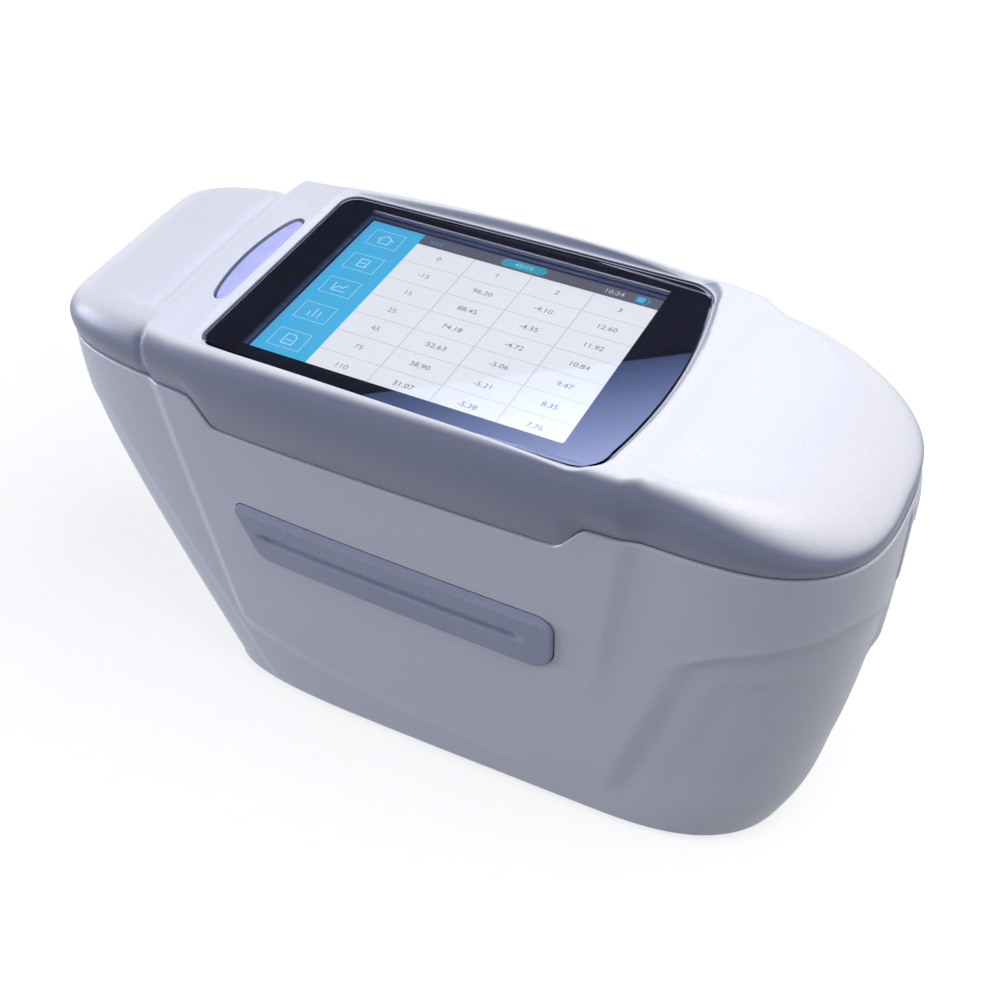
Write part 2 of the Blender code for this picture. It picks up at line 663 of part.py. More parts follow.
def build_lower_housing(finish):
    turn = column_turns()
    x, y, out_x, out_y = casing_plan(turn, SEAM_HEIGHT)
    rim = seam_height(x)
    span = SEAM_HEIGHT - HOUSING_BOTTOM

    def rim_ring(outward):
        push = middle_proud(x, SEAM_HEIGHT) + outward
        return np.column_stack([x + out_x * push, y + out_y * push, rim])

    levels = [HOUSING_BOTTOM + share * span for share in HOUSING_LEVEL_SHARES]
    lowest_rim = SEAM_HEIGHT - SKIRT_DROP
    outer = [rim_ring(0.0)]
    for level in levels:
        made = housing_ring(turn, level, 0.0)
        if level > lowest_rim - BOTTOM_CHAMFER:
            made[:, 2] = np.minimum(level, rim - BOTTOM_CHAMFER)
        outer.append(made)
    outer.append(housing_ring(turn, HOUSING_BOTTOM + BOTTOM_CHAMFER, 0.0))
    outer.append(housing_ring(turn, HOUSING_BOTTOM, -BOTTOM_CHAMFER))
    inner = [rim_ring(-HOUSING_WALL)]
    inner += [housing_ring(turn, HOUSING_BOTTOM + share * span, -HOUSING_WALL) for share in HOUSING_INNER_SHARES]
    inner.append(housing_ring(turn, HOUSING_BOTTOM + HOUSING_FLOOR, -HOUSING_WALL))
    housing = place("lower_housing", rings_to_shape(outer[::-1] + inner), finish)
    cut_base(housing, finish)
    cut_sides(housing, finish)
    cut_right_end(housing, finish)
    return housing


def foot_places():
    return [(FOOT_LEFT_X, -FOOT_LEFT_Y), (FOOT_LEFT_X, FOOT_LEFT_Y),
            (FOOT_RIGHT_X, -FOOT_RIGHT_Y), (FOOT_RIGHT_X, FOOT_RIGHT_Y)]


def screw_places():
    reach_x = OPENING_HALF_LENGTH + PLATE_LEDGE_X - SCREW_INSET
    reach_y = OPENING_HALF_WIDTH + PLATE_LEDGE_Y - SCREW_INSET
    return [(APERTURE_X + side_x * reach_x, side_y * reach_y) for side_x in (-1, 1) for side_y in (-1, 1)]


def cut_base(housing, finish):
    """Opening for the base plate, pockets for the feet and bores for the screws."""
    opening = rounded_rectangle(OPENING_HALF_LENGTH, OPENING_HALF_WIDTH, OPENING_CORNER)
    low = HOUSING_BOTTOM - CUT_OVERRUN
    high = HOUSING_BOTTOM + HOUSING_FLOOR + CUT_OVERRUN
    cut(housing, place("base_opening_cutter", stack([opening, opening], [low, high]), finish,
                       (APERTURE_X, 0.0, 0.0)))
    for number, (x, y) in enumerate(foot_places(), 1):
        pocket = turned([(FOOT_RADIUS + GAP, low), (FOOT_RADIUS + GAP, HOUSING_BOTTOM + FOOT_POCKET)])
        cut(housing, place("foot_pocket_cutter_%d" % number, pocket, finish, (x, y, 0.0)))
    head_seat = HOUSING_BOTTOM + SCREW_HEAD_HEIGHT + GAP
    for number, (x, y) in enumerate(screw_places(), 1):
        bore = turned([(SCREW_HEAD_RADIUS + GAP, low), (SCREW_HEAD_RADIUS + GAP, head_seat),
                       (SCREW_SHANK_RADIUS + GAP, head_seat), (SCREW_SHANK_RADIUS + GAP, high)])
        cut(housing, place("screw_bore_cutter_%d" % number, bore, finish, (x, y, 0.0)))


def corner_drop(distance, radius):
    """How far a rounded corner falls short of the straight edge, this far from the end."""
    reach = np.clip(radius - distance, 0.0, radius)
    return radius - np.sqrt(radius * radius - reach * reach)


def grip_shape(side, inner, outer, grow):
    """Slab on the side wall, between two offsets from it, with the grip's outline."""
    columns = 0.5 - 0.5 * np.cos(np.linspace(0.0, math.pi, GRIP_COLUMNS))
    rows = np.linspace(0.0, 1.0, GRIP_ROWS)
    along, up = np.meshgrid(columns, rows, indexing="ij")
    left = GRIP_LEFT - grow + GRIP_END_LEAN * (1.0 - up)
    right = GRIP_RIGHT + grow
    x = left + along * (right - left)
    share = (x - GRIP_LEFT) / (GRIP_RIGHT - GRIP_LEFT)
    top = GRIP_TOP_LEFT + share * (GRIP_TOP_RIGHT - GRIP_TOP_LEFT) + grow
    bottom = GRIP_BOTTOM_LEFT + share * (GRIP_BOTTOM_RIGHT - GRIP_BOTTOM_LEFT) - grow
    from_left = along * (right - left)
    from_right = (1.0 - along) * (right - left)
    top -= corner_drop(from_left, GRIP_LEFT_TOP_CORNER) + corner_drop(from_right, GRIP_RIGHT_TOP_CORNER)
    bottom += corner_drop(from_left, GRIP_LEFT_BOTTOM_CORNER)
    bottom += corner_drop(from_right, GRIP_RIGHT_BOTTOM_CORNER)
    z = bottom + up * (top - bottom)
    near = wall_y(x, z) + outer
    far = wall_y(x, z) + inner
    return grid_slab(x, z, side * near, side * far)


def grid_slab(x, z, front_y, back_y):
    """Closed slab between two grids of points that share x and z."""
    shape = bmesh.new()
    count_u, count_v = x.shape
    sheets = []
    for y in (front_y, back_y):
        sheets.append([[shape.verts.new((x[u, v], y[u, v], z[u, v])) for v in range(count_v)]
                       for u in range(count_u)])
    for sheet in sheets:
        for u in range(count_u - 1):
            for v in range(count_v - 1):
                shape.faces.new((sheet[u][v], sheet[u + 1][v], sheet[u + 1][v + 1], sheet[u][v + 1]))
    rim = [(u, 0) for u in range(count_u)] + [(count_u - 1, v) for v in range(1, count_v)]
    rim += [(u, count_v - 1) for u in range(count_u - 2, -1, -1)]
    rim += [(0, v) for v in range(count_v - 2, 0, -1)]
    for (u, v), (s, t) in zip(rim, rim[1:] + rim[:1]):
        shape.faces.new((sheets[0][u][v], sheets[0][s][t], sheets[1][s][t], sheets[1][u][v]))
    return shape


def cut_sides(housing, finish):
    for side, name in ((-1, "near"), (1, "far")):
        pocket = grip_shape(side, -GRIP_POCKET, CUT_OVERRUN, GAP)
        cut(housing, place("grip_pocket_cutter_" + name, pocket, finish))


def build_side_grips(finish):
    for side, name in ((-1, "near"), (1, "far")):
        slab = grip_shape(side, GAP - GRIP_POCKET, GRIP_PROUD, 0.0)
        grip = place("side_grip_" + name, slab, finish)
        left = GRIP_LEFT + GRIP_GROOVE_INSET
        right = GRIP_RIGHT - GRIP_GROOVE_INSET
        columns = np.linspace(left, right, GRIP_COLUMNS)
        rows = np.linspace(-0.5, 0.5, 2) * GRIP_GROOVE_HEIGHT
        x, above = np.meshgrid(columns, rows, indexing="ij")
        share = (x - GRIP_LEFT) / (GRIP_RIGHT - GRIP_LEFT)
        centre_left = (GRIP_TOP_LEFT + GRIP_BOTTOM_LEFT) / 2
        centre_right = (GRIP_TOP_RIGHT + GRIP_BOTTOM_RIGHT) / 2
        z = centre_left + share * (centre_right - centre_left) + above
        front = wall_y(x, z) + GRIP_PROUD + CUT_OVERRUN
        back = wall_y(x, z) + GRIP_PROUD - GRIP_GROOVE_DEPTH
        groove = grid_slab(x, z, side * front, side * back)
        cut(grip, place("grip_groove_cutter_" + name, groove, finish))


def end_shape(half_width, bottom, top, inner, outer):
    """Slab on the right end wall, between two offsets from it."""
    columns = END_CENTRE_Y + np.linspace(-half_width, half_width, FLAP_COLUMNS)
    rows = np.linspace(bottom, top, FLAP_ROWS)
    y, z = np.meshgrid(columns, rows, indexing="ij")
    wall = wall_x(y, z)
    shape = grid_slab(y, z, wall + outer, wall + inner)
    for corner in shape.verts:
        corner.co = Vector((corner.co.y, corner.co.x, corner.co.z))
    return shape


def cut_right_end(housing, finish):
    pocket = end_shape(FLAP_HALF_WIDTH + GAP, FLAP_BOTTOM - GAP, FLAP_TOP + GAP, -FLAP_POCKET, CUT_OVERRUN)
    cut(housing, place("flap_pocket_cutter", pocket, finish))
    slots = bmesh.new()
    for low, high, half_width in ((PORT_WINDOW_BOTTOM, PORT_WINDOW_TOP, PORT_WINDOW_HALF_WIDTH),
                                  (ROCKER_HEIGHT - ROCKER_HALF_HEIGHT - ROCKER_CLEARANCE,
                                   ROCKER_HEIGHT + ROCKER_HALF_HEIGHT + ROCKER_CLEARANCE,
                                   ROCKER_HALF_WIDTH + GAP),
                                  (STRAP_HEIGHT - STRAP_HALF_HEIGHT,
                                   STRAP_HEIGHT + STRAP_HALF_HEIGHT, STRAP_HALF_WIDTH)):
        add_box(slots, (RIGHT_END_AT_SEAM - RIGHT_SWEEP, END_CENTRE_Y - half_width, low),
                (RIGHT_END_AT_SEAM + CUT_OVERRUN, END_CENTRE_Y + half_width, high))
    cut(housing, place("end_slot_cutter", slots, finish))


def button_outline(grow=0.0):
    """Crescent: a straight edge towards the screen and an arc away from it, blunt ends."""
    half = BUTTON_LENGTH / 2 + grow
    points = []
    for step in range(BUTTON_ARC_POINTS + 1):
        share = 1 - 2 * step / BUTTON_ARC_POINTS
        swell = BUTTON_END_WIDTH + (BUTTON_DEPTH - BUTTON_END_WIDTH) * (1 - share * share)
        close = math.sqrt(max(1 - share ** BUTTON_END_POWER, 0.0))
        points.append((BUTTON_X + grow - (swell + 2 * grow) * (0.5 + 0.5 * close), half * share))
    for step in range(1, BUTTON_ARC_POINTS):
        share = -1 + 2 * step / BUTTON_ARC_POINTS
        close = math.sqrt(max(1 - share ** BUTTON_END_POWER, 0.0))
        points.append((BUTTON_X + grow - (BUTTON_END_WIDTH + 2 * grow) * 0.5 * (1 - close), half * share))
    return np.array(points)


def build_measure_button(finish, switch_finish, carrier):
    """Crescent cap with a flange under the roof, and the switch plunger under it."""
    top = GLASS_TOP - BUTTON_RECESS
    flange_top = ledge_underside() - GAP
    flange_bottom = flange_top - BUTTON_FLANGE_THICKNESS
    cap = button_outline(0.0)
    flange = button_outline(BUTTON_FLANGE)
    place("measure_button", stack([flange, flange, cap, cap], [flange_bottom, flange_top, flange_top, top]),
          finish, parent=carrier)
    switch_x = BUTTON_X - BUTTON_DEPTH / 2
    board_top = main_board_top()
    base = board_top + GAP
    floor = base + SWITCH_FLOOR
    body = box((switch_x - SWITCH_SIDE / 2, -SWITCH_SIDE / 2, base),
               (switch_x + SWITCH_SIDE / 2, SWITCH_SIDE / 2, base + SWITCH_HEIGHT))
    case = place("measure_switch", body, switch_finish)
    well = turned([(PLUNGER_RADIUS + GAP, floor), (PLUNGER_RADIUS + GAP, base + SWITCH_HEIGHT + CUT_OVERRUN)])
    cut(case, place("switch_well_cutter", well, switch_finish, (switch_x, 0.0, 0.0)))
    rest = floor + GAP + BUTTON_TRAVEL
    place("switch_plunger", turned([(PLUNGER_RADIUS, rest), (PLUNGER_RADIUS, flange_bottom - GAP)]),
          switch_finish, (switch_x, 0.0, 0.0), carrier)


def ledge_underside():
    return GLASS_TOP - COVER_ROOF


def lcd_bottom():
    return ledge_underside() - GAP - LCD_THICKNESS


def bracket_bottom():
    return lcd_bottom() - GAP - BRACKET_THICKNESS


def main_board_top():
    return bracket_bottom() - BOARD_DROP


def build_display(glass, glue, lcd, steel, board_finish):
    """Glass, its glue frame, the display, the bracket under it and the main board."""
    outline = glass_plan()
    bottom = GLASS_TOP - GLASS_THICKNESS
    place("touch_glass", stack([outline, outline], [bottom, GLASS_TOP]), glass)
    frame_outer = glass_plan(-GAP)
    seat_floor = bottom - GLUE_THICKNESS - GAP
    frame = place("glass_glue_frame", stack([frame_outer, frame_outer], [seat_floor + GAP / 2, bottom - GAP / 2]),
                  glue)
    view = rounded_rectangle(VIEW_LENGTH / 2 + GAP, VIEW_WIDTH / 2 + GAP, VIEW_CORNER)
    hole = stack([view, view], [seat_floor - CUT_OVERRUN, bottom + CUT_OVERRUN])
    cut(frame, place("glue_cutter", hole, glue, (SCREEN_X, 0.0, 0.0)))
    top = ledge_underside() - GAP
    place("display_module", box((SCREEN_X - LCD_LENGTH / 2, -LCD_WIDTH / 2, lcd_bottom()),
                                (SCREEN_X + LCD_LENGTH / 2, LCD_WIDTH / 2, top)), lcd)
    inner = LCD_LENGTH / 2 + GAP
    outer = inner + BRACKET_THICKNESS
    low = bracket_bottom()
    shelf = low + BRACKET_THICKNESS
    profile = [(-outer, top), (-outer, low), (outer, low), (outer, top), (inner, top), (inner, shelf),
               (-inner, shelf), (-inner, top)]
    rings = [[(SCREEN_X + x, y, z) for x, z in profile] for y in (-BRACKET_WIDTH / 2, BRACKET_WIDTH / 2)]
    place("display_bracket", rings_to_shape(rings), steel)
    board_top = main_board_top()
    place("main_board", box((BOARD_LEFT, -BOARD_WIDTH / 2, board_top - BOARD_THICKNESS),
                            (BOARD_RIGHT, BOARD_WIDTH / 2, board_top)), board_finish)
    number = 0
    for x in (SCREEN_X - LCD_LENGTH / 2 + STANDOFF_INSET, BOARD_RIGHT - STANDOFF_INSET):
        for y in (-1, 1):
            number += 1
            place("board_standoff_%d" % number,
                  turned([(STANDOFF_RADIUS, board_top + GAP), (STANDOFF_RADIUS, low - GAP)], PILLAR_SIDES), steel,
                  (x, y * (BOARD_WIDTH / 2 - STANDOFF_INSET), 0.0))


def build_base(plastic, ring_finish, steel, rubber):
    """Plate with a step that fills the floor's opening, aperture ring, screws and feet."""
    floor_top = HOUSING_BOTTOM + HOUSING_FLOOR
    step_outline = rounded_rectangle(OPENING_HALF_LENGTH - GAP, OPENING_HALF_WIDTH - GAP, OPENING_CORNER)
    flange = rounded_rectangle(OPENING_HALF_LENGTH + PLATE_LEDGE_X, OPENING_HALF_WIDTH + PLATE_LEDGE_Y,
                               OPENING_CORNER)
    flange_bottom = floor_top + GAP
    heights = [HOUSING_BOTTOM, flange_bottom, flange_bottom, plate_top()]
    plate = place("base_plate", stack([step_outline, step_outline, flange, flange], heights), plastic,
                  (APERTURE_X, 0.0, 0.0))
    bore = turned([(RING_OUTER_RADIUS + GAP, HOUSING_BOTTOM - CUT_OVERRUN),
                   (RING_OUTER_RADIUS + GAP, plate_top() + CUT_OVERRUN)], 2 * TUBE_SIDES)
    cut(plate, place("ring_bore_cutter", bore, plastic, (APERTURE_X, 0.0, 0.0)))
    ring_bottom = HOUSING_BOTTOM - RING_PROUD
    mouth = RING_INNER_RADIUS + RING_CHAMFER
    profile = [(RING_OUTER_RADIUS, ring_bottom), (RING_OUTER_RADIUS, plate_top()),
               (RING_INNER_RADIUS, plate_top()), (RING_INNER_RADIUS, ring_bottom + RING_CHAMFER),
               (mouth, ring_bottom)]
    place("aperture_ring", turned_loop(profile, 2 * TUBE_SIDES), ring_finish, (APERTURE_X, 0.0, 0.0))
    head_top = HOUSING_BOTTOM + SCREW_HEAD_HEIGHT
    for number, (x, y) in enumerate(screw_places(), 1):
        hole = turned([(SCREW_SHANK_RADIUS + GAP, flange_bottom - GAP), (SCREW_SHANK_RADIUS + GAP,
                       plate_top() + CUT_OVERRUN)])
        cut(plate, place("plate_bore_cutter_%d" % number, hole, plastic, (x, y, 0.0)))
        screw = place("base_screw_%d" % number,
                      turned([(SCREW_HEAD_RADIUS, HOUSING_BOTTOM), (SCREW_HEAD_RADIUS, head_top),
                              (SCREW_SHANK_RADIUS, head_top), (SCREW_SHANK_RADIUS, head_top + SCREW_LENGTH)]),
                      steel, (x, y, 0.0))
        slot = box((-SCREW_HEAD_RADIUS - GAP, -SCREW_SLOT_WIDTH / 2, HOUSING_BOTTOM - CUT_OVERRUN),
                   (SCREW_HEAD_RADIUS + GAP, SCREW_SLOT_WIDTH / 2, HOUSING_BOTTOM + SCREW_SLOT_DEPTH))
        cut(screw, place("screw_slot_cutter_%d" % number, slot, steel, (x, y, 0.0)))
    for number, (x, y) in enumerate(foot_places(), 1):
        place("base_foot_%d" % number,
              turned([(FOOT_RADIUS, 0.0), (FOOT_RADIUS, HOUSING_BOTTOM + FOOT_POCKET - GAP)]), rubber, (x, y, 0.0))


def plate_top():
    return HOUSING_BOTTOM + HOUSING_FLOOR + GAP + PLATE_FLANGE


def build_optics(alloy, black, glass, board_finish):
    """Arch over the aperture with the lamp tube and the receiver tubes square to the sample."""
    foot = plate_top() + GAP
    outer_end = math.acos(foot / ARCH_OUTER)
    inner_end = math.acos(foot / ARCH_INNER)
    outer = [(ARCH_OUTER * math.sin(t), ARCH_OUTER * math.cos(t))
             for t in np.linspace(-outer_end, outer_end, ARCH_STEPS)]
    inner = [(ARCH_INNER * math.sin(t), ARCH_INNER * math.cos(t))
             for t in np.linspace(inner_end, -inner_end, ARCH_STEPS)]
    rings = [[(x, y, z) for x, z in outer + inner] for y in (-ARCH_WIDTH / 2, ARCH_WIDTH / 2)]
    arch = place("optics_arch", rings_to_shape(rings), alloy, (APERTURE_X, 0.0, 0.0))
    where = (APERTURE_X, 0.0, 0.0)
    low = ARCH_INNER - CUT_OVERRUN
    high = ARCH_OUTER + CUT_OVERRUN
    for number, angle in enumerate(RECEIVER_ANGLES, 1):
        lean = math.radians(angle)
        bore = turned([(RECEIVER_RADIUS + GAP, low), (RECEIVER_RADIUS + GAP, high)])
        cut(arch, place("receiver_bore_cutter_%d" % number, bore, alloy, where, turn=lean))
        place("receiver_tube_%d" % number, tube(RECEIVER_RADIUS, RECEIVER_BORE, TUBE_START, TUBE_END),
              black, where, turn=lean)
        place("receiver_sensor_%d" % number,
              turned([(SENSOR_RADIUS, TUBE_END + GAP), (SENSOR_RADIUS, TUBE_END + GAP + SENSOR_LENGTH)]),
              alloy, where, turn=lean)
    lean = math.radians(LAMP_ANGLE)
    bore = turned([(LAMP_TUBE_RADIUS + GAP, low), (LAMP_TUBE_RADIUS + GAP, high)])
    cut(arch, place("lamp_bore_cutter", bore, alloy, where, turn=lean))
    place("lamp_tube", tube(LAMP_TUBE_RADIUS, LAMP_TUBE_BORE, TUBE_START, TUBE_END), black, where, turn=lean)
    lens = LAMP_TUBE_BORE - GAP
    place("lamp_lens", turned([(lens * LENS_BACK_SHARE, TUBE_START + GAP), (lens, TUBE_START + LENS_THICKNESS / 2),
                               (lens, TUBE_START + LENS_THICKNESS)]), glass, where, turn=lean)
    half = LAMP_BOARD_SIDE / 2
    place("lamp_board", box((-half, -half, TUBE_END + GAP), (half, half, TUBE_END + GAP + LAMP_BOARD_THICKNESS)),
          board_finish, where, turn=lean)


def build_chassis(alloy, steel, wrap):
    """Pillars on the base plate carry a plate, which carries the battery and its clamp."""
    reach_x = OPENING_HALF_LENGTH + PLATE_LEDGE_X - PILLAR_INSET_X - SCREW_HEAD_RADIUS
    reach_y = OPENING_HALF_WIDTH + PLATE_LEDGE_Y - PILLAR_INSET_Y
    number = 0
    for side_x in (-1, 1):
        for side_y in (-1, 1):
            number += 1
            place("chassis_pillar_%d" % number,
                  turned([(PILLAR_RADIUS, plate_top() + GAP), (PILLAR_RADIUS, CHASSIS_HEIGHT - GAP)], PILLAR_SIDES), steel,
                  (APERTURE_X + side_x * reach_x, side_y * reach_y, 0.0))
    top = CHASSIS_HEIGHT + CHASSIS_THICKNESS
    place("chassis_plate", box((CHASSIS_LEFT, -CHASSIS_HALF_WIDTH, CHASSIS_HEIGHT),
                               (CHASSIS_RIGHT, CHASSIS_HALF_WIDTH, top)), alloy)
    pack_low = top + GAP
    pack_high = main_board_top() - BOARD_THICKNESS - BATTERY_HEADROOM
    half_height = (pack_high - pack_low) / 2
    section = rounded_rectangle(BATTERY_WIDTH / 2, half_height, half_height - GAP)
    middle = (pack_low + pack_high) / 2
    rings = [[(x, y, middle + z) for y, z in section]
             for x in (BATTERY_X - BATTERY_LENGTH / 2, BATTERY_X + BATTERY_LENGTH / 2)]
    place("battery_pack", rings_to_shape(rings), wrap)
    inner = BATTERY_WIDTH / 2 + GAP
    outer = inner + CLAMP_THICKNESS
    ceiling = pack_high + GAP
    profile = [(-outer, pack_low), (-outer, ceiling + CLAMP_THICKNESS), (outer, ceiling + CLAMP_THICKNESS),
               (outer, pack_low), (inner, pack_low), (inner, ceiling), (-inner, ceiling), (-inner, pack_low)]
    rings = [[(x, y, z) for y, z in profile]
             for x in (BATTERY_X - CLAMP_LENGTH / 2, BATTERY_X + CLAMP_LENGTH / 2)]
    place("battery_clamp", rings_to_shape(rings), steel)


def build_ports(finish, board_finish, steel, black, flap_carrier):
    """Flap over the charging and data sockets, and the board that carries them."""
    flap = end_shape(FLAP_HALF_WIDTH, FLAP_BOTTOM, FLAP_TOP, GAP - FLAP_POCKET, FLAP_PROUD)
    for corner in flap.verts:
        corner.co -= flap_carrier.location
    place("port_flap", flap, finish, parent=flap_carrier)
    stand = CHASSIS_HEIGHT + CHASSIS_THICKNESS + GAP
    place("port_board", box((PORT_BOARD_X - PORT_BOARD_THICKNESS, END_CENTRE_Y - PORT_BOARD_HALF_WIDTH, stand),
                            (PORT_BOARD_X, END_CENTRE_Y + PORT_BOARD_HALF_WIDTH, SEAM_HEIGHT - PORT_BOARD_TOP_SPACE)),
          board_finish)
    back = PORT_BOARD_X + GAP
    usb = place("usb_socket", box((back, END_CENTRE_Y - USB_HALF_WIDTH, USB_HEIGHT - USB_HALF_HEIGHT),
                                  (PORT_FRONT_X, END_CENTRE_Y + USB_HALF_WIDTH, USB_HEIGHT + USB_HALF_HEIGHT)),
                steel)
    half_width = USB_HALF_WIDTH - USB_WALL
    half_height = USB_HALF_HEIGHT - USB_WALL
    mouth = box((PORT_FRONT_X - USB_DEPTH, END_CENTRE_Y - half_width, USB_HEIGHT - half_height),
                (PORT_FRONT_X + CUT_OVERRUN, END_CENTRE_Y + half_width, USB_HEIGHT + half_height))
    cut(usb, place("usb_mouth_cutter", mouth, steel))
    half = CHARGE_HALF_SIDE
    jack = place("charge_socket", box((back, END_CENTRE_Y - half, CHARGE_HEIGHT - half),
                                      (PORT_FRONT_X, END_CENTRE_Y + half, CHARGE_HEIGHT + half)), black)
    bore = turned([(CHARGE_BORE_RADIUS, -CHARGE_DEPTH), (CHARGE_BORE_RADIUS, CUT_OVERRUN)])
    cut(jack, place("charge_bore_cutter", bore, black, (PORT_FRONT_X, END_CENTRE_Y, CHARGE_HEIGHT),
                    turn=math.pi / 2))


def insert_face(half_width, height):
    """Where a box behind the end wall may start: just inside the wall at its far corner."""
    return float(wall_x(END_CENTRE_Y + half_width, height)) - INSERT_CLEARANCE


def build_end_controls(black, plastic, steel, rocker_carrier):
    """Rocker switch in its case and the strap anchor with its bar."""
    half_y = ROCKER_HALF_WIDTH + GAP + SWITCH_CASE_RIM
    half_z = ROCKER_HALF_HEIGHT + GAP + SWITCH_CASE_RIM
    face = insert_face(half_y, ROCKER_HEIGHT)
    case = place("rocker_case", box((SWITCH_CASE_X, END_CENTRE_Y - half_y, ROCKER_HEIGHT - half_z),
                                    (face, END_CENTRE_Y + half_y, ROCKER_HEIGHT + half_z)), black)
    low = ROCKER_HEIGHT - ROCKER_HALF_HEIGHT - ROCKER_CLEARANCE
    high = ROCKER_HEIGHT + ROCKER_HALF_HEIGHT + ROCKER_CLEARANCE
    well = box((face - ROCKER_BACK, END_CENTRE_Y - ROCKER_HALF_WIDTH - GAP, low),
               (face + CUT_OVERRUN, END_CENTRE_Y + ROCKER_HALF_WIDTH + GAP, high))
    cut(case, place("rocker_well_cutter", well, black))
    axis = rocker_carrier.location
    back = face - ROCKER_BACK + ROCKER_REAR_GAP - axis.x
    rings = []
    for y in np.linspace(-ROCKER_HALF_WIDTH, ROCKER_HALF_WIDTH, ROCKER_SLICES):
        front = float(wall_x(END_CENTRE_Y + y, ROCKER_HEIGHT)) - axis.x
        profile = [(back, -ROCKER_HEEL_SHARE), (0.0, -1.0), (front, -1.0), (front - ROCKER_DISH, 0.0),
                   (front, 1.0), (0.0, 1.0), (back, ROCKER_HEEL_SHARE)]
        rings.append([(x, y, z * ROCKER_HALF_HEIGHT) for x, z in profile])
    place("power_rocker", rings_to_shape(rings), black, parent=rocker_carrier)
    half_y = STRAP_HALF_WIDTH + STRAP_CUP_WALL
    half_z = STRAP_HALF_HEIGHT + STRAP_CUP_WALL
    face = insert_face(half_y, STRAP_HEIGHT)
    cup = place("strap_cup", box((STRAP_CUP_X, END_CENTRE_Y - half_y, STRAP_HEIGHT - half_z),
                                 (face, END_CENTRE_Y + half_y, STRAP_HEIGHT + half_z)), plastic)
    well = box((STRAP_CUP_X + STRAP_CUP_WALL, END_CENTRE_Y - STRAP_HALF_WIDTH, STRAP_HEIGHT - STRAP_HALF_HEIGHT),
               (face + CUT_OVERRUN, END_CENTRE_Y + STRAP_HALF_WIDTH, STRAP_HEIGHT + STRAP_HALF_HEIGHT))
    cut(cup, place("strap_well_cutter", well, plastic))
    reach = STRAP_HALF_HEIGHT - GAP
    place("strap_bar", turned([(STRAP_BAR_RADIUS, -reach), (STRAP_BAR_RADIUS, reach)]), steel,
          (face - STRAP_BAR_INSET, END_CENTRE_Y, STRAP_HEIGHT))


def carrier(name, location):
    """Empty on a joint's axis, which the moving pieces hang from."""
    item = bpy.data.objects.new(name, None)
    item.location = location
    bpy.context.scene.collection.objects.link(item)
    return item


def main():
    clear_scene()
    silver = material("pearl_silver_paint", (0.80, 0.81, 0.87), 0.32, 0.35)
    satin = material("satin_silver_paint", (0.56, 0.58, 0.66), 0.42, 0.25)
    dark_rubber = material("grip_rubber", (0.24, 0.26, 0.36), 0.6)
    glass = material("display_glass", (0.02, 0.02, 0.03), 0.05)
    glue = material("black_glue", (0.03, 0.03, 0.03), 0.6)
    lcd = material("display_face", (0.25, 0.42, 0.5), 0.3)
    key = material("lit_key_plastic", (0.53, 0.55, 0.91), 0.3)
    black = material("black_plastic", (0.03, 0.03, 0.035), 0.45)
    steel = material("plated_steel", (0.62, 0.62, 0.64), 0.3, 1.0)
    alloy = material("black_anodised_alloy", (0.06, 0.06, 0.07), 0.4, 0.8)
    board = material("circuit_board", (0.02, 0.14, 0.06), 0.45)
    lens = material("lens_glass", (0.85, 0.9, 0.95), 0.05)
    wrap = material("battery_wrap", (0.05, 0.12, 0.40), 0.4)
    foot = material("foot_rubber", (0.05, 0.05, 0.055), 0.7)
    button_carrier = carrier("button_axis", (0.0, 0.0, 0.0))
    flap_x = float(wall_x(END_CENTRE_Y - FLAP_HALF_WIDTH, FLAP_BOTTOM)) + FLAP_PROUD
    flap_carrier = carrier("flap_axis", (flap_x, 0.0, FLAP_BOTTOM))
    rocker_x = float(wall_x(END_CENTRE_Y + ROCKER_HALF_WIDTH, ROCKER_HEIGHT)) - HOUSING_WALL
    rocker_carrier = carrier("rocker_axis", (rocker_x, END_CENTRE_Y, ROCKER_HEIGHT))
    build_top_cover(silver)
    build_lower_housing(satin)
    build_side_grips(dark_rubber)
    build_display(glass, glue, lcd, steel, board)
    build_measure_button(key, black, button_carrier)
    build_base(black, alloy, steel, foot)
    build_optics(alloy, black, lens, board)
    build_chassis(alloy, steel, wrap)
    build_ports(satin, board, steel, black, flap_carrier)
    build_end_controls(black, satin, steel, rocker_carrier)


main()
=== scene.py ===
# %% [markdown]
# A multi-angle spectrophotometer is a hand-held box that is set on a painted
# surface and measures its colour from several directions. This lesson dresses
# its solid model: the frame gives every solid at its place, and each cell adds
# one piece or one finish, worked out with whole arrays of numbers.

# %% Frame and helpers
import json
import math

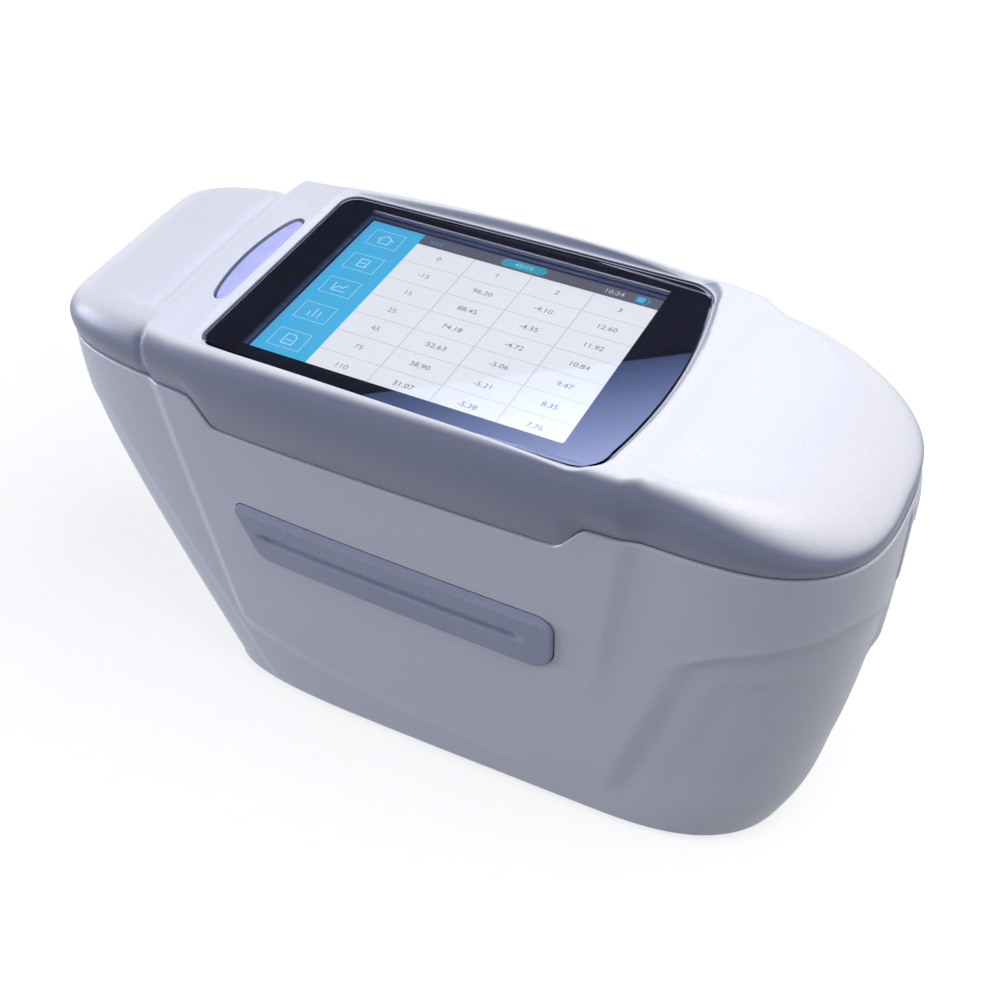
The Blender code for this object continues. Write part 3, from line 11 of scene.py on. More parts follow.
import bmesh
import bpy
import numpy as np
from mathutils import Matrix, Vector

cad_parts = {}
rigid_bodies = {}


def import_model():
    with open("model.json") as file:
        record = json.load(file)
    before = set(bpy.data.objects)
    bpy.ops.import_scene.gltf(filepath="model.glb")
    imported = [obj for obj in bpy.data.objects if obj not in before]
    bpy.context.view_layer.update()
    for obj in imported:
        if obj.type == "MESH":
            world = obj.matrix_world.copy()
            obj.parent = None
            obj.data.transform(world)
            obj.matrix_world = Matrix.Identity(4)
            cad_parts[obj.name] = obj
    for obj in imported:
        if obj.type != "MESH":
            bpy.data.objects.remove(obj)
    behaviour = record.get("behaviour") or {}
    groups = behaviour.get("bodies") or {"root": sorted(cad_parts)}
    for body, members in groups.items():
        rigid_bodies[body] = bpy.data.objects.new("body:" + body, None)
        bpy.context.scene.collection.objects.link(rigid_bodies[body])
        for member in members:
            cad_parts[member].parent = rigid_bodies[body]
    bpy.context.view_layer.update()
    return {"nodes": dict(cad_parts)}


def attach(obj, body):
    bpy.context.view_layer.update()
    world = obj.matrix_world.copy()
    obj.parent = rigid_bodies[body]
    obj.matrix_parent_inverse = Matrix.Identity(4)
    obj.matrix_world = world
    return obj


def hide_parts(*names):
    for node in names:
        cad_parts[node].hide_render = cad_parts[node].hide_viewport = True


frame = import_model()
nodes = frame["nodes"]
print("solids in the frame:", len(nodes))


def smooth(value):
    """Soft step: t * t * (3 - 2t), where t is the value kept between 0 and 1."""
    t = np.clip(value, 0.0, 1.0)
    return t * t * (3.0 - 2.0 * t)


def mix(low, high, share):
    """Straight line between two values or arrays: low at share 0 and high at share 1."""
    return low + share * (high - low)


def linear(code):
    """sRGB hex to linear light: each channel by the sRGB curve, with full alpha."""
    channels = np.array([int(code[i:i + 2], 16) for i in (1, 3, 5)]) / 255.0
    light = np.where(channels <= 0.04045, channels / 12.92, ((channels + 0.055) / 1.055) ** 2.4)
    return (*light.tolist(), 1.0)


# %% [markdown]
# Every skin here is a grid of points. A row is a closed ring round the piece,
# and the next row is the next ring. The helper below puts the whole grid into
# a mesh at once. Rings that end on a line or a point are merged there, so each
# piece is a closed body with its faces outwards.

# %% Grid to mesh
MERGE_DISTANCE = 0.000002
SHARP_ANGLE = math.radians(35)


def grid_faces(rows, columns, closed_rows):
    """Four corner numbers for each cell of a grid whose columns close on themselves."""
    row = np.arange(rows if closed_rows else rows - 1)[:, None]
    column = np.arange(columns)[None, :]
    after_row = (row + 1) % rows
    after_column = (column + 1) % columns
    corners = [row * columns + column, row * columns + after_column,
               after_row * columns + after_column, after_row * columns + column]
    return np.stack([np.broadcast_to(c, (len(row), columns)) for c in corners], axis=-1).reshape(-1, 4)


def mesh_piece(name, points, faces, sharp=SHARP_ANGLE):
    """Object at the origin from an array of points and an array of faces."""
    mesh = bpy.data.meshes.new(name)
    mesh.vertices.add(len(points))
    mesh.vertices.foreach_set("co", np.asarray(points, np.float32).ravel())
    mesh.loops.add(faces.size)
    mesh.loops.foreach_set("vertex_index", faces.astype(np.int32).ravel())
    mesh.polygons.add(len(faces))
    mesh.polygons.foreach_set("loop_start", np.arange(0, faces.size, faces.shape[1], dtype=np.int32))
    mesh.update(calc_edges=True)
    shape = bmesh.new()
    shape.from_mesh(mesh)
    bmesh.ops.remove_doubles(shape, verts=shape.verts, dist=MERGE_DISTANCE)
    bmesh.ops.recalc_face_normals(shape, faces=shape.faces)
    shape.to_mesh(mesh)
    shape.free()
    mesh.shade_smooth()
    if sharp:
        mesh.set_sharp_from_angle(angle=sharp)
    item = bpy.data.objects.new(name, mesh)
    bpy.context.scene.collection.objects.link(item)
    return item


def ring_piece(name, rings, closed_rows=False, sharp=SHARP_ANGLE):
    """Piece from an array of rings: (rows, columns, 3)."""
    rows, columns, _ = rings.shape
    return mesh_piece(name, rings.reshape(-1, 3), grid_faces(rows, columns, closed_rows), sharp)


def carve(piece, cutter):
    """Takes the cutter's volume out of the piece. The cutter's flat faces keep the cut's edge crisp."""
    cutter.data.shade_flat()
    change = piece.modifiers.new("carve", "BOOLEAN")
    change.operation = "DIFFERENCE"
    change.solver = "EXACT"
    change.object = cutter
    bpy.context.view_layer.update()
    ready = piece.evaluated_get(bpy.context.evaluated_depsgraph_get())
    carved = bpy.data.meshes.new_from_object(ready)
    piece.modifiers.remove(change)
    piece.data = carved
    bpy.data.objects.remove(cutter)
    print(piece.name, "carved:", len(carved.polygons), "faces")


def join_pieces(name, pieces):
    """One object from several, which don't touch each other."""
    shape = bmesh.new()
    for piece in pieces:
        shape.from_mesh(piece.data)
        bpy.data.objects.remove(piece)
    mesh = bpy.data.meshes.new(name)
    shape.to_mesh(mesh)
    shape.free()
    item = bpy.data.objects.new(name, mesh)
    bpy.context.scene.collection.objects.link(item)
    return item


# %% [markdown]
# The casing's plan is two superellipse halves: a squarer one at the button end
# and a rounder one at the port end. A superellipse is a circle whose sine and
# cosine are raised to a power, so one turn angle runs once round the casing.
# The same plan, narrower with depth, gives the tapered lower body.

# %% Casing plan
GAP = 0.0003
SEAM_HEIGHT = 0.0893
HOUSING_BOTTOM = 0.001
LEFT_POWER = 6.5
RIGHT_POWER = 2.75
CENTRE_AT_SEAM = 0.05416
CENTRE_AT_BASE = 0.03916
HALF_WIDTH_AT_SEAM = 0.0318
HALF_WIDTH_AT_BASE = 0.0300
LEFT_END_AT_SEAM = -0.09164
LEFT_END_AT_BASE = -0.05884
LEFT_KINK_HEIGHT = 0.0745
LEFT_LEAN_POWER = 1.15
LEFT_KINK_SOFT_SHARE = 0.13
RIGHT_END_AT_SEAM = 0.09116
RIGHT_SWEEP = 0.0115
RIGHT_SWEEP_POWER = 3.4


def left_end(height):
    """Upright above the kink, and leaning in by a share raised to a power below it, softened at the kink."""
    below = (LEFT_KINK_HEIGHT - height) / (LEFT_KINK_HEIGHT - HOUSING_BOTTOM)
    share = (below + np.sqrt(below * below + LEFT_KINK_SOFT_SHARE ** 2)) / 2
    return LEFT_END_AT_SEAM + share ** LEFT_LEAN_POWER * (LEFT_END_AT_BASE - LEFT_END_AT_SEAM)


def down_share(height):
    """0 at the seam and 1 at the foot, in proportion to the height between them."""
    return np.clip((SEAM_HEIGHT - height) / (SEAM_HEIGHT - HOUSING_BOTTOM), 0.0, 1.0)


def casing_plan(turn, height):
    """Superellipse point and outward direction: x is reach times cosine to 2/power, y the same with sine."""
    down = down_share(height)
    centre = mix(CENTRE_AT_SEAM, CENTRE_AT_BASE, down)
    half_width = mix(HALF_WIDTH_AT_SEAM, HALF_WIDTH_AT_BASE, down)
    right_reach = RIGHT_END_AT_SEAM - RIGHT_SWEEP * down ** RIGHT_SWEEP_POWER - centre
    left_reach = centre - left_end(height)
    cosine = np.cos(turn)
    sine = np.sin(turn)
    right = cosine >= 0
    reach = np.where(right, right_reach, left_reach)
    power = np.where(right, RIGHT_POWER, LEFT_POWER)
    across = np.abs(cosine) ** (2 / power)
    aside = np.abs(sine) ** (2 / power)
    x = centre + np.sign(cosine) * reach * across
    y = np.sign(sine) * half_width * aside
    out_x = np.sign(cosine) * across ** (power - 1) / reach
    out_y = np.sign(sine) * aside ** (power - 1) / half_width
    length = np.hypot(out_x, out_y)
    return x, y, out_x / length, out_y / length


print("casing from", LEFT_END_AT_SEAM, "to", RIGHT_END_AT_SEAM, "metres at the seam")

# %% [markdown]
# The middle of the instrument stands about a millimetre proud of its two ends.
# One share, 1 on the middle and 0 on the ends, draws the edges of that panel.
# The left edge leans with the body. The right edge leans too, and low down it
# moves over to the line where the recess of the port end begins. Cover, body
# and relief all use the same share, so the edges of the panel always line up.

# %% Raised middle panel
MIDDLE_LEFT = -0.06284
MIDDLE_RIGHT = 0.0487
MIDDLE_RIGHT_SKEW = 0.066
MIDDLE_BLEND = 0.0038
MIDDLE_RIGHT_BLEND = 0.0056
MIDDLE_LEFT_LEAN = 0.20
MIDDLE_RIGHT_LEAN = 0.0945
VALLEY_FOOT = 0.0480
VALLEY_FADE = 0.0300
BOUND_X = 0.0489
BOUND_HEIGHT = 0.0221
BOUND_LEAN = 0.278
BOUND_BLEND = 0.0062


def sweep_bound(height):
    """Leaning line that closes the recess of the right end towards the middle."""
    return BOUND_X + (height - BOUND_HEIGHT) * BOUND_LEAN


def middle_share(x, height, y=0.0):
    """1 on the proud middle and 0 on the ends. Low down the right step moves over to the recess's line."""
    below = np.maximum(SEAM_HEIGHT - height, 0.0)
    left = MIDDLE_LEFT + below * MIDDLE_LEFT_LEAN
    right = MIDDLE_RIGHT + y * MIDDLE_RIGHT_SKEW - below * MIDDLE_RIGHT_LEAN
    valley = smooth((right - x) / MIDDLE_RIGHT_BLEND + 0.5)
    bound = smooth((sweep_bound(height) - x) / BOUND_BLEND + 0.5)
    low = smooth((VALLEY_FOOT - height) / VALLEY_FADE + 0.5)
    return smooth((x - left) / MIDDLE_BLEND + 0.5) * mix(valley, bound, low)


def middle_bow(x):
    """Parabola: 1 half way along the middle section and 0 at its ends."""
    along = (2 * x - MIDDLE_RIGHT - MIDDLE_LEFT) / (MIDDLE_RIGHT - MIDDLE_LEFT)
    return np.clip(1.0 - along * along, 0.0, 1.0)


print("middle panel:", round((MIDDLE_RIGHT - MIDDLE_LEFT) * 1000, 1), "mm long")

# %% [markdown]
# The seam between cover and body is level at both ends and drops along the
# middle like a skirt. Each end of the drop is a short slope with rounded
# corners. Two softened hinges, one taken from the other, draw such a slope in
# one formula, so the cover's lip follows it without a sharp corner.

# %% Seam line
SKIRT_DROP = 0.0069
SKIRT_LEFT = -0.0502
SKIRT_RIGHT = 0.0346
SKIRT_LEFT_RAMP = 0.0044
SKIRT_RIGHT_RAMP = 0.0042
SKIRT_ROUND_SHARE = 0.20


def soft_ramp(value):
    """0 to 1 along a straight slope with rounded ends: the difference of two softened hinges."""

    def hinge(t):
        """Zero before the corner and t after it, rounded by the root of t squared plus a round squared."""
        return (t + np.sqrt(t * t + SKIRT_ROUND_SHARE ** 2)) / 2
    return np.clip(hinge(value) - hinge(value - 1.0), 0.0, 1.0)


def seam_height(x):
    """Level line with a drop along the middle, whose ends slope."""
    rise_in = (x - SKIRT_LEFT) / SKIRT_LEFT_RAMP + 0.5
    rise_out = (SKIRT_RIGHT - x) / SKIRT_RIGHT_RAMP + 0.5
    return SEAM_HEIGHT - SKIRT_DROP * soft_ramp(rise_in) * soft_ramp(rise_out)


print("the seam drops", SKIRT_DROP * 1000, "mm along the middle")

# %% [markdown]
# The large skins share one set of turn angles, so cover and body meet point
# for point along the seam. The angles are spread evenly in length and crowd
# together where the seam steps, because too few columns there would show as a
# saw edge.

# %% Columns round the casing
COLUMNS = 680
COLUMN_FOCUS = 2.2
FOCUS_SPREAD = 0.005
COUNTING_STEPS = 4001


def column_turns(count):
    """Turn angles even in length along the seam, closer at its steps, the same on both sides."""
    turn = np.linspace(0.0, math.pi, COUNTING_STEPS)
    x, y, _, _ = casing_plan(turn, SEAM_HEIGHT)
    middle = (x[1:] + x[:-1]) / 2
    weight = np.ones_like(middle)
    for place_x in (SKIRT_LEFT, SKIRT_RIGHT, MIDDLE_LEFT, MIDDLE_RIGHT):
        weight += COLUMN_FOCUS * np.exp(-((middle - place_x) / FOCUS_SPREAD) ** 2)
    travelled = np.concatenate([[0.0], np.cumsum(np.hypot(np.diff(x), np.diff(y)) * weight)])
    half = np.interp(np.linspace(0.0, travelled[-1], count // 2 + 1), travelled, turn)
    return np.concatenate([half, 2 * math.pi - half[-2:0:-1]])


turns = column_turns(COLUMNS)
print("columns round the casing:", len(turns))

# %% [markdown]
# The lower body is moulded plastic under a satin silver paint. Its sides carry
# sculpted creases: a raised middle panel, a second fine crease at the left end,
# and two sweeps that run round the right end. They are real relief in the
# mesh, added along the wall's outward direction, so they show from every side.

# %% Foot and bow of the middle panel
MIDDLE_STEP = 0.0009
MIDDLE_BOW = 0.0006
PANEL_FOOT_BLEND = 0.0060
PANEL_FOOT_LOW = 0.0112
PANEL_FOOT_LOW_X = 0.0210
PANEL_FOOT_RISE = 2.1


def panel_foot(x):
    """Height of the raised panel's lower edge: a shallow valley line, lowest right of the middle."""
    return PANEL_FOOT_LOW + PANEL_FOOT_RISE * (x - PANEL_FOOT_LOW_X) ** 2


def middle_proud(x, height, y=0.0):
    """How far the middle panel stands out: its step and bow, faded below its foot line."""
    foot = smooth((height - panel_foot(x)) / PANEL_FOOT_BLEND + 0.5)
    return (MIDDLE_STEP + MIDDLE_BOW * middle_bow(x)) * middle_share(x, height, y) * foot


middle_stands = MIDDLE_STEP + MIDDLE_BOW
print("the middle panel stands", round(middle_stands * 1000, 2), "mm proud at most")

# %% [markdown]
# Two sweeps run round the port end: below each line the wall steps in softly,
# and above it a small lip catches the light. Their height changes round the
# end, so it's given at a few angles from the nose and smoothed between them.
# A flat place is left in the sweeps for the flap, the switch and the strap
# slot. At the button end one more shallow step follows the leaning edge.

# %% Sweeps and creases
SWEEP_DEPTH = 0.00080
SWEEP_LIP_SHARE = 0.50
SWEEP_LIP_WIDTH = 0.0020
SWEEP_BLEND = 0.0024
SWEEP_FADE_HEIGHT = 0.0180
SWEEP_FADE_SPAN = 0.0180
UPPER_SWEEP = {0: 0.0640, 5: 0.0665, 16: 0.0704, 26: 0.0721, 37: 0.0716, 46: 0.0704,
               55: 0.0690, 63: 0.0671, 72: 0.0651, 78: 0.0623, 80: 0.0610, 90: 0.0540}
SWEEP_SAMPLES = 721
SWEEP_WINDOW = 25
LOWER_SWEEP_DROP = 0.0103
LOWER_SWEEP_SHARE = 0.60
LOWER_BOUND_SHIFT = 0.0090
LOWER_LIP_END_DEGREES = 60
LOWER_LIP_END_SPAN = 14
LEFT_CREASE_DEPTH = 0.00030
LEFT_CREASE_BLEND = 0.0030
LEFT_CREASE_LEAN = 0.52
LEFT_CREASE_X = -0.0639
LEFT_CREASE_HEIGHT = 0.0417
CLEAN_END_X = 0.0780
CLEAN_END_LOW_Y = -0.0010
CLEAN_END_HIGH_Y = 0.0235
CLEAN_END_BLEND = 0.0060
CLEAN_END_FOOT = 0.0440


def sweep_line(turn):
    """Degrees from the nose, and the upper sweep's height there: chosen heights averaged by a soft window."""
    from_nose = np.degrees(np.abs((turn + math.pi) % (2 * math.pi) - math.pi))
    fine = np.linspace(0.0, 180.0, SWEEP_SAMPLES)
    heights = np.interp(fine, list(UPPER_SWEEP), list(UPPER_SWEEP.values()))
    window = np.hanning(SWEEP_WINDOW)
    padded = np.pad(heights, SWEEP_WINDOW // 2, mode="edge")
    softened = np.convolve(padded, window / window.sum(), mode="valid")
    return from_nose, np.interp(from_nose, fine, softened)


def step_down(above, depth, lip_share):
    """Profile across a sweep: a soft step down below the line and a small lip that fades above it."""
    step = smooth(above / SWEEP_BLEND + 0.5)
    lip = lip_share * depth * step * np.exp(-(above / SWEEP_LIP_WIDTH) ** 2)
    return lip - depth * (1.0 - step)


def housing_relief(turn, x, y, height):
    """Sum of the sculpted forms of the lower body, in metres along the outward direction."""
    from_nose, upper = sweep_line(turn)
    from_bound = x - sweep_bound(height)
    fade = smooth((height - SWEEP_FADE_HEIGHT) / SWEEP_FADE_SPAN + 0.5)
    first = step_down(height - upper, SWEEP_DEPTH, SWEEP_LIP_SHARE)
    first *= smooth(from_bound / BOUND_BLEND + 0.5)
    ends = smooth((LOWER_LIP_END_DEGREES - from_nose) / LOWER_LIP_END_SPAN + 0.5)
    above_second = height - upper + LOWER_SWEEP_DROP
    second = step_down(above_second, SWEEP_DEPTH * LOWER_SWEEP_SHARE, SWEEP_LIP_SHARE * ends)
    second *= smooth((from_bound - LOWER_BOUND_SHIFT) / BOUND_BLEND + 0.5)
    in_end = smooth((x - CLEAN_END_X) / CLEAN_END_BLEND)
    in_end *= smooth((y - CLEAN_END_LOW_Y) / CLEAN_END_BLEND)
    in_end *= smooth((CLEAN_END_HIGH_Y - y) / CLEAN_END_BLEND)
    in_end *= smooth((height - CLEAN_END_FOOT) / CLEAN_END_BLEND)
    sweeps = (first + second) * fade * (1.0 - in_end)
    crease_x = LEFT_CREASE_X - (height - LEFT_CREASE_HEIGHT) * LEFT_CREASE_LEAN
    crease = -LEFT_CREASE_DEPTH * smooth((crease_x - x) / LEFT_CREASE_BLEND + 0.5)
    crease *= smooth((LEFT_KINK_HEIGHT - height) / LEFT_CREASE_BLEND)
    return sweeps + crease


print("sweeps between", min(UPPER_SWEEP.values()), "and", max(UPPER_SWEEP.values()), "metres high")

# %% [markdown]
# The lower body is an open tray. Its rings go up the inside wall, over the
# rounded rim, down the sculpted outside and under the floor, and both ends of
# the row close on a line along the middle. So it's a sealed solid with a real
# wall. A box with modifiers could give the taper, but not relief that follows
# the wall's own direction.

# %% Lower body skin
HOUSING_WALL = 0.0022
HOUSING_FLOOR = 0.0026
BOTTOM_ROUND = 0.0016
RIM_ROUND = 0.0007
WALL_ROWS = 94
INNER_ROWS = 5
ROUND_ROWS = 5
SPINE_LEFT = -0.0300
SPINE_RIGHT = 0.0600


def on_wall(turn, height, outward, relief):
    """Wall points: the plan point pushed outwards by the panel, the relief and an offset."""
    x, y, out_x, out_y = casing_plan(turn, height)
    push = middle_proud(x, height, y) + outward
    if relief:
        push = push + housing_relief(turn, x, y, height)
    return np.stack([x + out_x * push, y + out_y * push, height * np.ones_like(x)], axis=-1)


def to_spine(ring, shares):
    """Rings drawn in from a ring to a straight line along its middle, at its own height."""
    target = ring.copy()
    target[:, 0] = np.clip(ring[:, 0], SPINE_LEFT, SPINE_RIGHT)
    target[:, 1] = 0.0
    return [mix(ring, target, share) for share in shares]


def housing_rings(turn):
    """Rings from the inner floor up the inside, over the rim, down the outside and under the floor."""
    x, _, _, _ = casing_plan(turn, SEAM_HEIGHT)
    rim = seam_height(x)
    floor = HOUSING_BOTTOM + HOUSING_FLOOR
    inner_shares = np.linspace(0, 1, INNER_ROWS)
    rows = [on_wall(turn, mix(floor, rim, share), -HOUSING_WALL, False) for share in inner_shares]
    for angle in np.linspace(0, math.pi / 2, ROUND_ROWS):
        drop = RIM_ROUND * (1 - math.cos(angle))
        rows.append(on_wall(turn, rim - drop, -RIM_ROUND * (1 - math.sin(angle)), False))
    foot = HOUSING_BOTTOM + BOTTOM_ROUND
    for share in np.linspace(1, 0, WALL_ROWS)[1:]:
        rows.append(on_wall(turn, mix(foot, rim - RIM_ROUND, share), 0.0, True))
    for angle in np.linspace(0, math.pi / 2, ROUND_ROWS + 1)[1:]:
        height = foot - BOTTOM_ROUND * math.sin(angle)
        rows.append(on_wall(turn, height, -BOTTOM_ROUND * (1 - math.cos(angle)), False))
    inside = to_spine(rows[0], (1.0, 0.5))
    under = to_spine(rows[-1], (0.5, 1.0))
    return np.array(inside + rows + under)


lower_skin = ring_piece("housing_skin", housing_rings(turns))
print("lower body:", len(lower_skin.data.polygons), "faces")

# %% [markdown]
# Things that are let into the walls, such as the rubber grips and the flap,
# share one recipe: a closed outline on the wall, rings drawn in from it to a
# line along its middle, and an offset from the wall at each ring. The offset
# rounds the edge. The same recipe with a larger outline gives the pocket that
# the thing sits in, so both always fit.

# %% Where the walls stand


def wall_y(x, height):
    """Half width of the side wall where x and height are given: the plan's equation solved for y."""
    down = down_share(height)
    centre = mix(CENTRE_AT_SEAM, CENTRE_AT_BASE, down)
    half_width = mix(HALF_WIDTH_AT_SEAM, HALF_WIDTH_AT_BASE, down)
    reach = np.where(x < centre, centre - left_end(height), RIGHT_END_AT_SEAM - centre)
    power = np.where(x < centre, LEFT_POWER, RIGHT_POWER)
    ratio = np.clip(np.abs(x - centre) / reach, 0.0, 1.0)
    return half_width * (1.0 - ratio ** power) ** (1.0 / power) + middle_proud(x, height)


def wall_x(y, height):
    """Where the right end wall stands: the plan's equation solved for x."""
    down = down_share(height)
    centre = mix(CENTRE_AT_SEAM, CENTRE_AT_BASE, down)
    half_width = mix(HALF_WIDTH_AT_SEAM, HALF_WIDTH_AT_BASE, down)
    reach = RIGHT_END_AT_SEAM - RIGHT_SWEEP * down ** RIGHT_SWEEP_POWER - centre
    ratio = np.abs(y) / half_width
    return centre + reach * (1.0 - ratio ** RIGHT_POWER) ** (1.0 / RIGHT_POWER)


print("half width at the seam:", round(float(wall_y(0.0, SEAM_HEIGHT)) * 1000, 2), "mm")

# %% [markdown]
# An outline is a polygon with rounds at its corners, sampled evenly so that
# the faces along it are alike. Rings drawn in from it to a short line in its
# middle cover the whole area without one crowded centre point.

# %% Outlines and rings drawn in
CORNER_STEPS = 13


def rounded_outline(corners, radii, count):
    """Polygon with a round at each corner, sampled evenly along its length."""
    corners = np.array(corners, float)
    points = []
    for index, corner in enumerate(corners):
        to_last = corners[index - 1] - corner
        to_next = corners[(index + 1) % len(corners)] - corner
        to_last /= np.linalg.norm(to_last)
        to_next /= np.linalg.norm(to_next)
        half_angle = math.acos(np.clip(to_last @ to_next, -1, 1)) / 2
        reach = radii[index] / math.tan(half_angle)
        bisector = (to_last + to_next) / np.linalg.norm(to_last + to_next)
        centre = corner + bisector * radii[index] / math.sin(half_angle)
        start = corner + to_last * reach - centre
        end = corner + to_next * reach - centre
        for share in np.linspace(0, 1, CORNER_STEPS):
            chord = mix(start, end, share)
            points.append(centre + chord / np.linalg.norm(chord) * radii[index])
    points = np.array(points + points[:1])
    travelled = np.concatenate([[0.0], np.cumsum(np.hypot(*np.diff(points, axis=0).T))])
    at = np.arange(count) / count * travelled[-1]
    return np.column_stack([np.interp(at, travelled, points[:, k]) for k in (0, 1)])


def drawn_in(outline, spine_start, spine_end, shares):
    """Flat rings (rows, points, 2) from the outline to the nearest points of a straight spine."""
    start = np.array(spine_start)
    along = np.array(spine_end) - start
    share = np.clip((outline - start) @ along / (along @ along), 0.0, 1.0)
    target = start + share[:, None] * along
    rings = np.array([mix(outline, target, s) for s in shares])
    depth = np.array([s * np.hypot(*(target - outline).T) for s in shares])
    return rings, depth


def edge_fall(depth, radius):
    """How far a rounded edge falls short of the face, this deep inside the outline."""
    reach = np.clip(radius - depth, 0.0, radius)
    return radius - np.sqrt(radius * radius - reach * reach)


EDGE_SHARES = np.concatenate([np.linspace(0, 0.22, 12), np.linspace(0.25, 1, 32)])
CUTTER_SHARES = np.linspace(0, 1, 7)


def side_pad(name, side, outline, spine, back, face, shares=EDGE_SHARES):
    """Body on a side wall between a back offset and a face offset, which is a function of x, z and depth."""
    flat, depth = drawn_in(outline, *spine, shares)
    x, z = flat[..., 0], flat[..., 1]
    front = np.stack([x, side * (wall_y(x, z) + face(x, z, depth)), z], axis=-1)
    rear = np.stack([x, side * (wall_y(x, z) + back), z], axis=-1)
    return ring_piece(name, np.concatenate([rear[::-1], front]))


def end_pad(name, outline, spine, back, face, shares=EDGE_SHARES):
    """The same on the right end wall, for outlines in y and z."""
    flat, depth = drawn_in(outline, *spine, shares)
    y, z = flat[..., 0], flat[..., 1]
    front = np.stack([wall_x(y, z) + face(y, z, depth), y, z], axis=-1)
    rear = np.stack([wall_x(y, z) + back, y, z], axis=-1)
    return ring_piece(name, np.concatenate([rear[::-1], front]))


# %% [markdown]
# The rubber grips are bars of soft-touch rubber pressed into a pocket on each
# long side. Their upper edge has a wide bevel that catches the light, and a
# long shallow groove runs along the middle for the fingers.

# %% Side grips
GRIP_LEFT = -0.0457
GRIP_RIGHT = 0.03146
GRIP_TOP_LEFT = 0.0631
GRIP_TOP_RIGHT = 0.0610
GRIP_BOTTOM_LEFT = 0.0488
GRIP_BOTTOM_RIGHT = 0.0462
GRIP_END_LEAN = 0.0060
GRIP_CORNERS = (0.0018, 0.0050, 0.0050, 0.0040)
GRIP_POCKET = 0.0012
GRIP_PROUD = 0.0011
GRIP_GROOVE_HALF = 0.0008
GRIP_GROOVE_DEPTH = 0.0010
GRIP_GROOVE_INSET = 0.0055
GRIP_GROOVE_SOFT = 0.0014
GRIP_GROOVE_FADE = 0.0040
GRIP_EDGE = 0.0005
GRIP_TOP_BEVEL = 0.0019
GRIP_BEVEL_SLOPE = 0.55
GRIP_POINTS = 420
CUT_OVERRUN = 0.004


def grip_outline(grow):
    """Leaning four-sided outline, larger on all sides by grow, with rounded corners."""
    corners = [(GRIP_LEFT - grow, GRIP_TOP_LEFT + grow),
               (GRIP_LEFT + GRIP_END_LEAN - grow, GRIP_BOTTOM_LEFT - grow),
               (GRIP_RIGHT + grow, GRIP_BOTTOM_RIGHT - grow),
               (GRIP_RIGHT + grow, GRIP_TOP_RIGHT + grow)]
    return rounded_outline(corners, [corner + grow for corner in GRIP_CORNERS], GRIP_POINTS)


def grip_spine():
    """Line along the grip's middle, half the grip's height short of its ends."""
    middle_left = (GRIP_TOP_LEFT + GRIP_BOTTOM_LEFT) / 2
    middle_right = (GRIP_TOP_RIGHT + GRIP_BOTTOM_RIGHT) / 2
    reach = (GRIP_TOP_LEFT - GRIP_BOTTOM_LEFT) / 2
    return (GRIP_LEFT + reach, middle_left), (GRIP_RIGHT - reach, middle_right)


def grip_face(x, z, depth):
    """Proud height, less the rounded edge or the wide bevel under the top line, less the groove."""
    share = (x - GRIP_LEFT) / (GRIP_RIGHT - GRIP_LEFT)
    top = mix(GRIP_TOP_LEFT, GRIP_TOP_RIGHT, share)
    middle = (top + mix(GRIP_BOTTOM_LEFT, GRIP_BOTTOM_RIGHT, share)) / 2
    bevel = GRIP_BEVEL_SLOPE * np.maximum(GRIP_TOP_BEVEL - (top - z), 0.0)
    fall = np.maximum(edge_fall(depth, GRIP_EDGE), bevel)
    groove = smooth((GRIP_GROOVE_HALF - np.abs(z - middle)) / GRIP_GROOVE_SOFT + 0.5)
    groove *= smooth((x - GRIP_LEFT - GRIP_GROOVE_INSET) / GRIP_GROOVE_FADE)
    groove *= smooth((GRIP_RIGHT - GRIP_GROOVE_INSET - x) / GRIP_GROOVE_FADE)
    return GRIP_PROUD - fall - GRIP_GROOVE_DEPTH * groove


grip_pads = {}
side_cutters = []
for side, where in ((-1, "near"), (1, "far")):
    grip_pads[where] = side_pad("grip_pad_" + where, side, grip_outline(0.0), grip_spine(),
                                GAP - GRIP_POCKET, grip_face)
    side_cutters.append(side_pad("grip_cutter_" + where, side, grip_outline(GAP), grip_spine(), -GRIP_POCKET,
                                 lambda x, z, depth: CUT_OVERRUN, CUTTER_SHARES))
print("grip pads:", len(grip_pads))

# %% [markdown]
# The port end has a hinged flap over the charging and data sockets. It is
# painted like the body, follows its curve and has three ribs near the top to
# push with a thumb. The wall behind it has a shallow pocket, which a larger
# body of the same recipe cuts.

# %% Port flap
END_CENTRE_Y = 0.0112
FLAP_HALF_WIDTH = 0.0085
FLAP_TOP = 0.0874
FLAP_BOTTOM = 0.0672
FLAP_CORNER = 0.0016
FLAP_POCKET = 0.0009
FLAP_PROUD = 0.0005
FLAP_EDGE = 0.00045
FLAP_RIB_HEIGHTS = (0.0815, 0.0832, 0.0849)
FLAP_RIB_RISE = 0.00022
FLAP_RIB_WIDTH = 0.0004
FLAP_RIB_HALF_LENGTH = 0.0050
FLAP_POINTS = 200


def end_outline(half_width, bottom, top, corner, count=FLAP_POINTS):
    """Rounded rectangle in y and z, centred on the port end's fittings."""
    corners = [(END_CENTRE_Y - half_width, top), (END_CENTRE_Y - half_width, bottom),
               (END_CENTRE_Y + half_width, bottom), (END_CENTRE_Y + half_width, top)]
    return rounded_outline(corners, [corner] * 4, count)


def end_spine(half_width, bottom, top):
    """Line along the rectangle's longer middle, half its shorter side away from the ends."""
    middle = (bottom + top) / 2
    reach = min(half_width, (top - bottom) / 2)
    if half_width < (top - bottom) / 2:
        return (END_CENTRE_Y, bottom + reach), (END_CENTRE_Y, top - reach)
    return (END_CENTRE_Y - half_width + reach, middle), (END_CENTRE_Y + half_width - reach, middle)


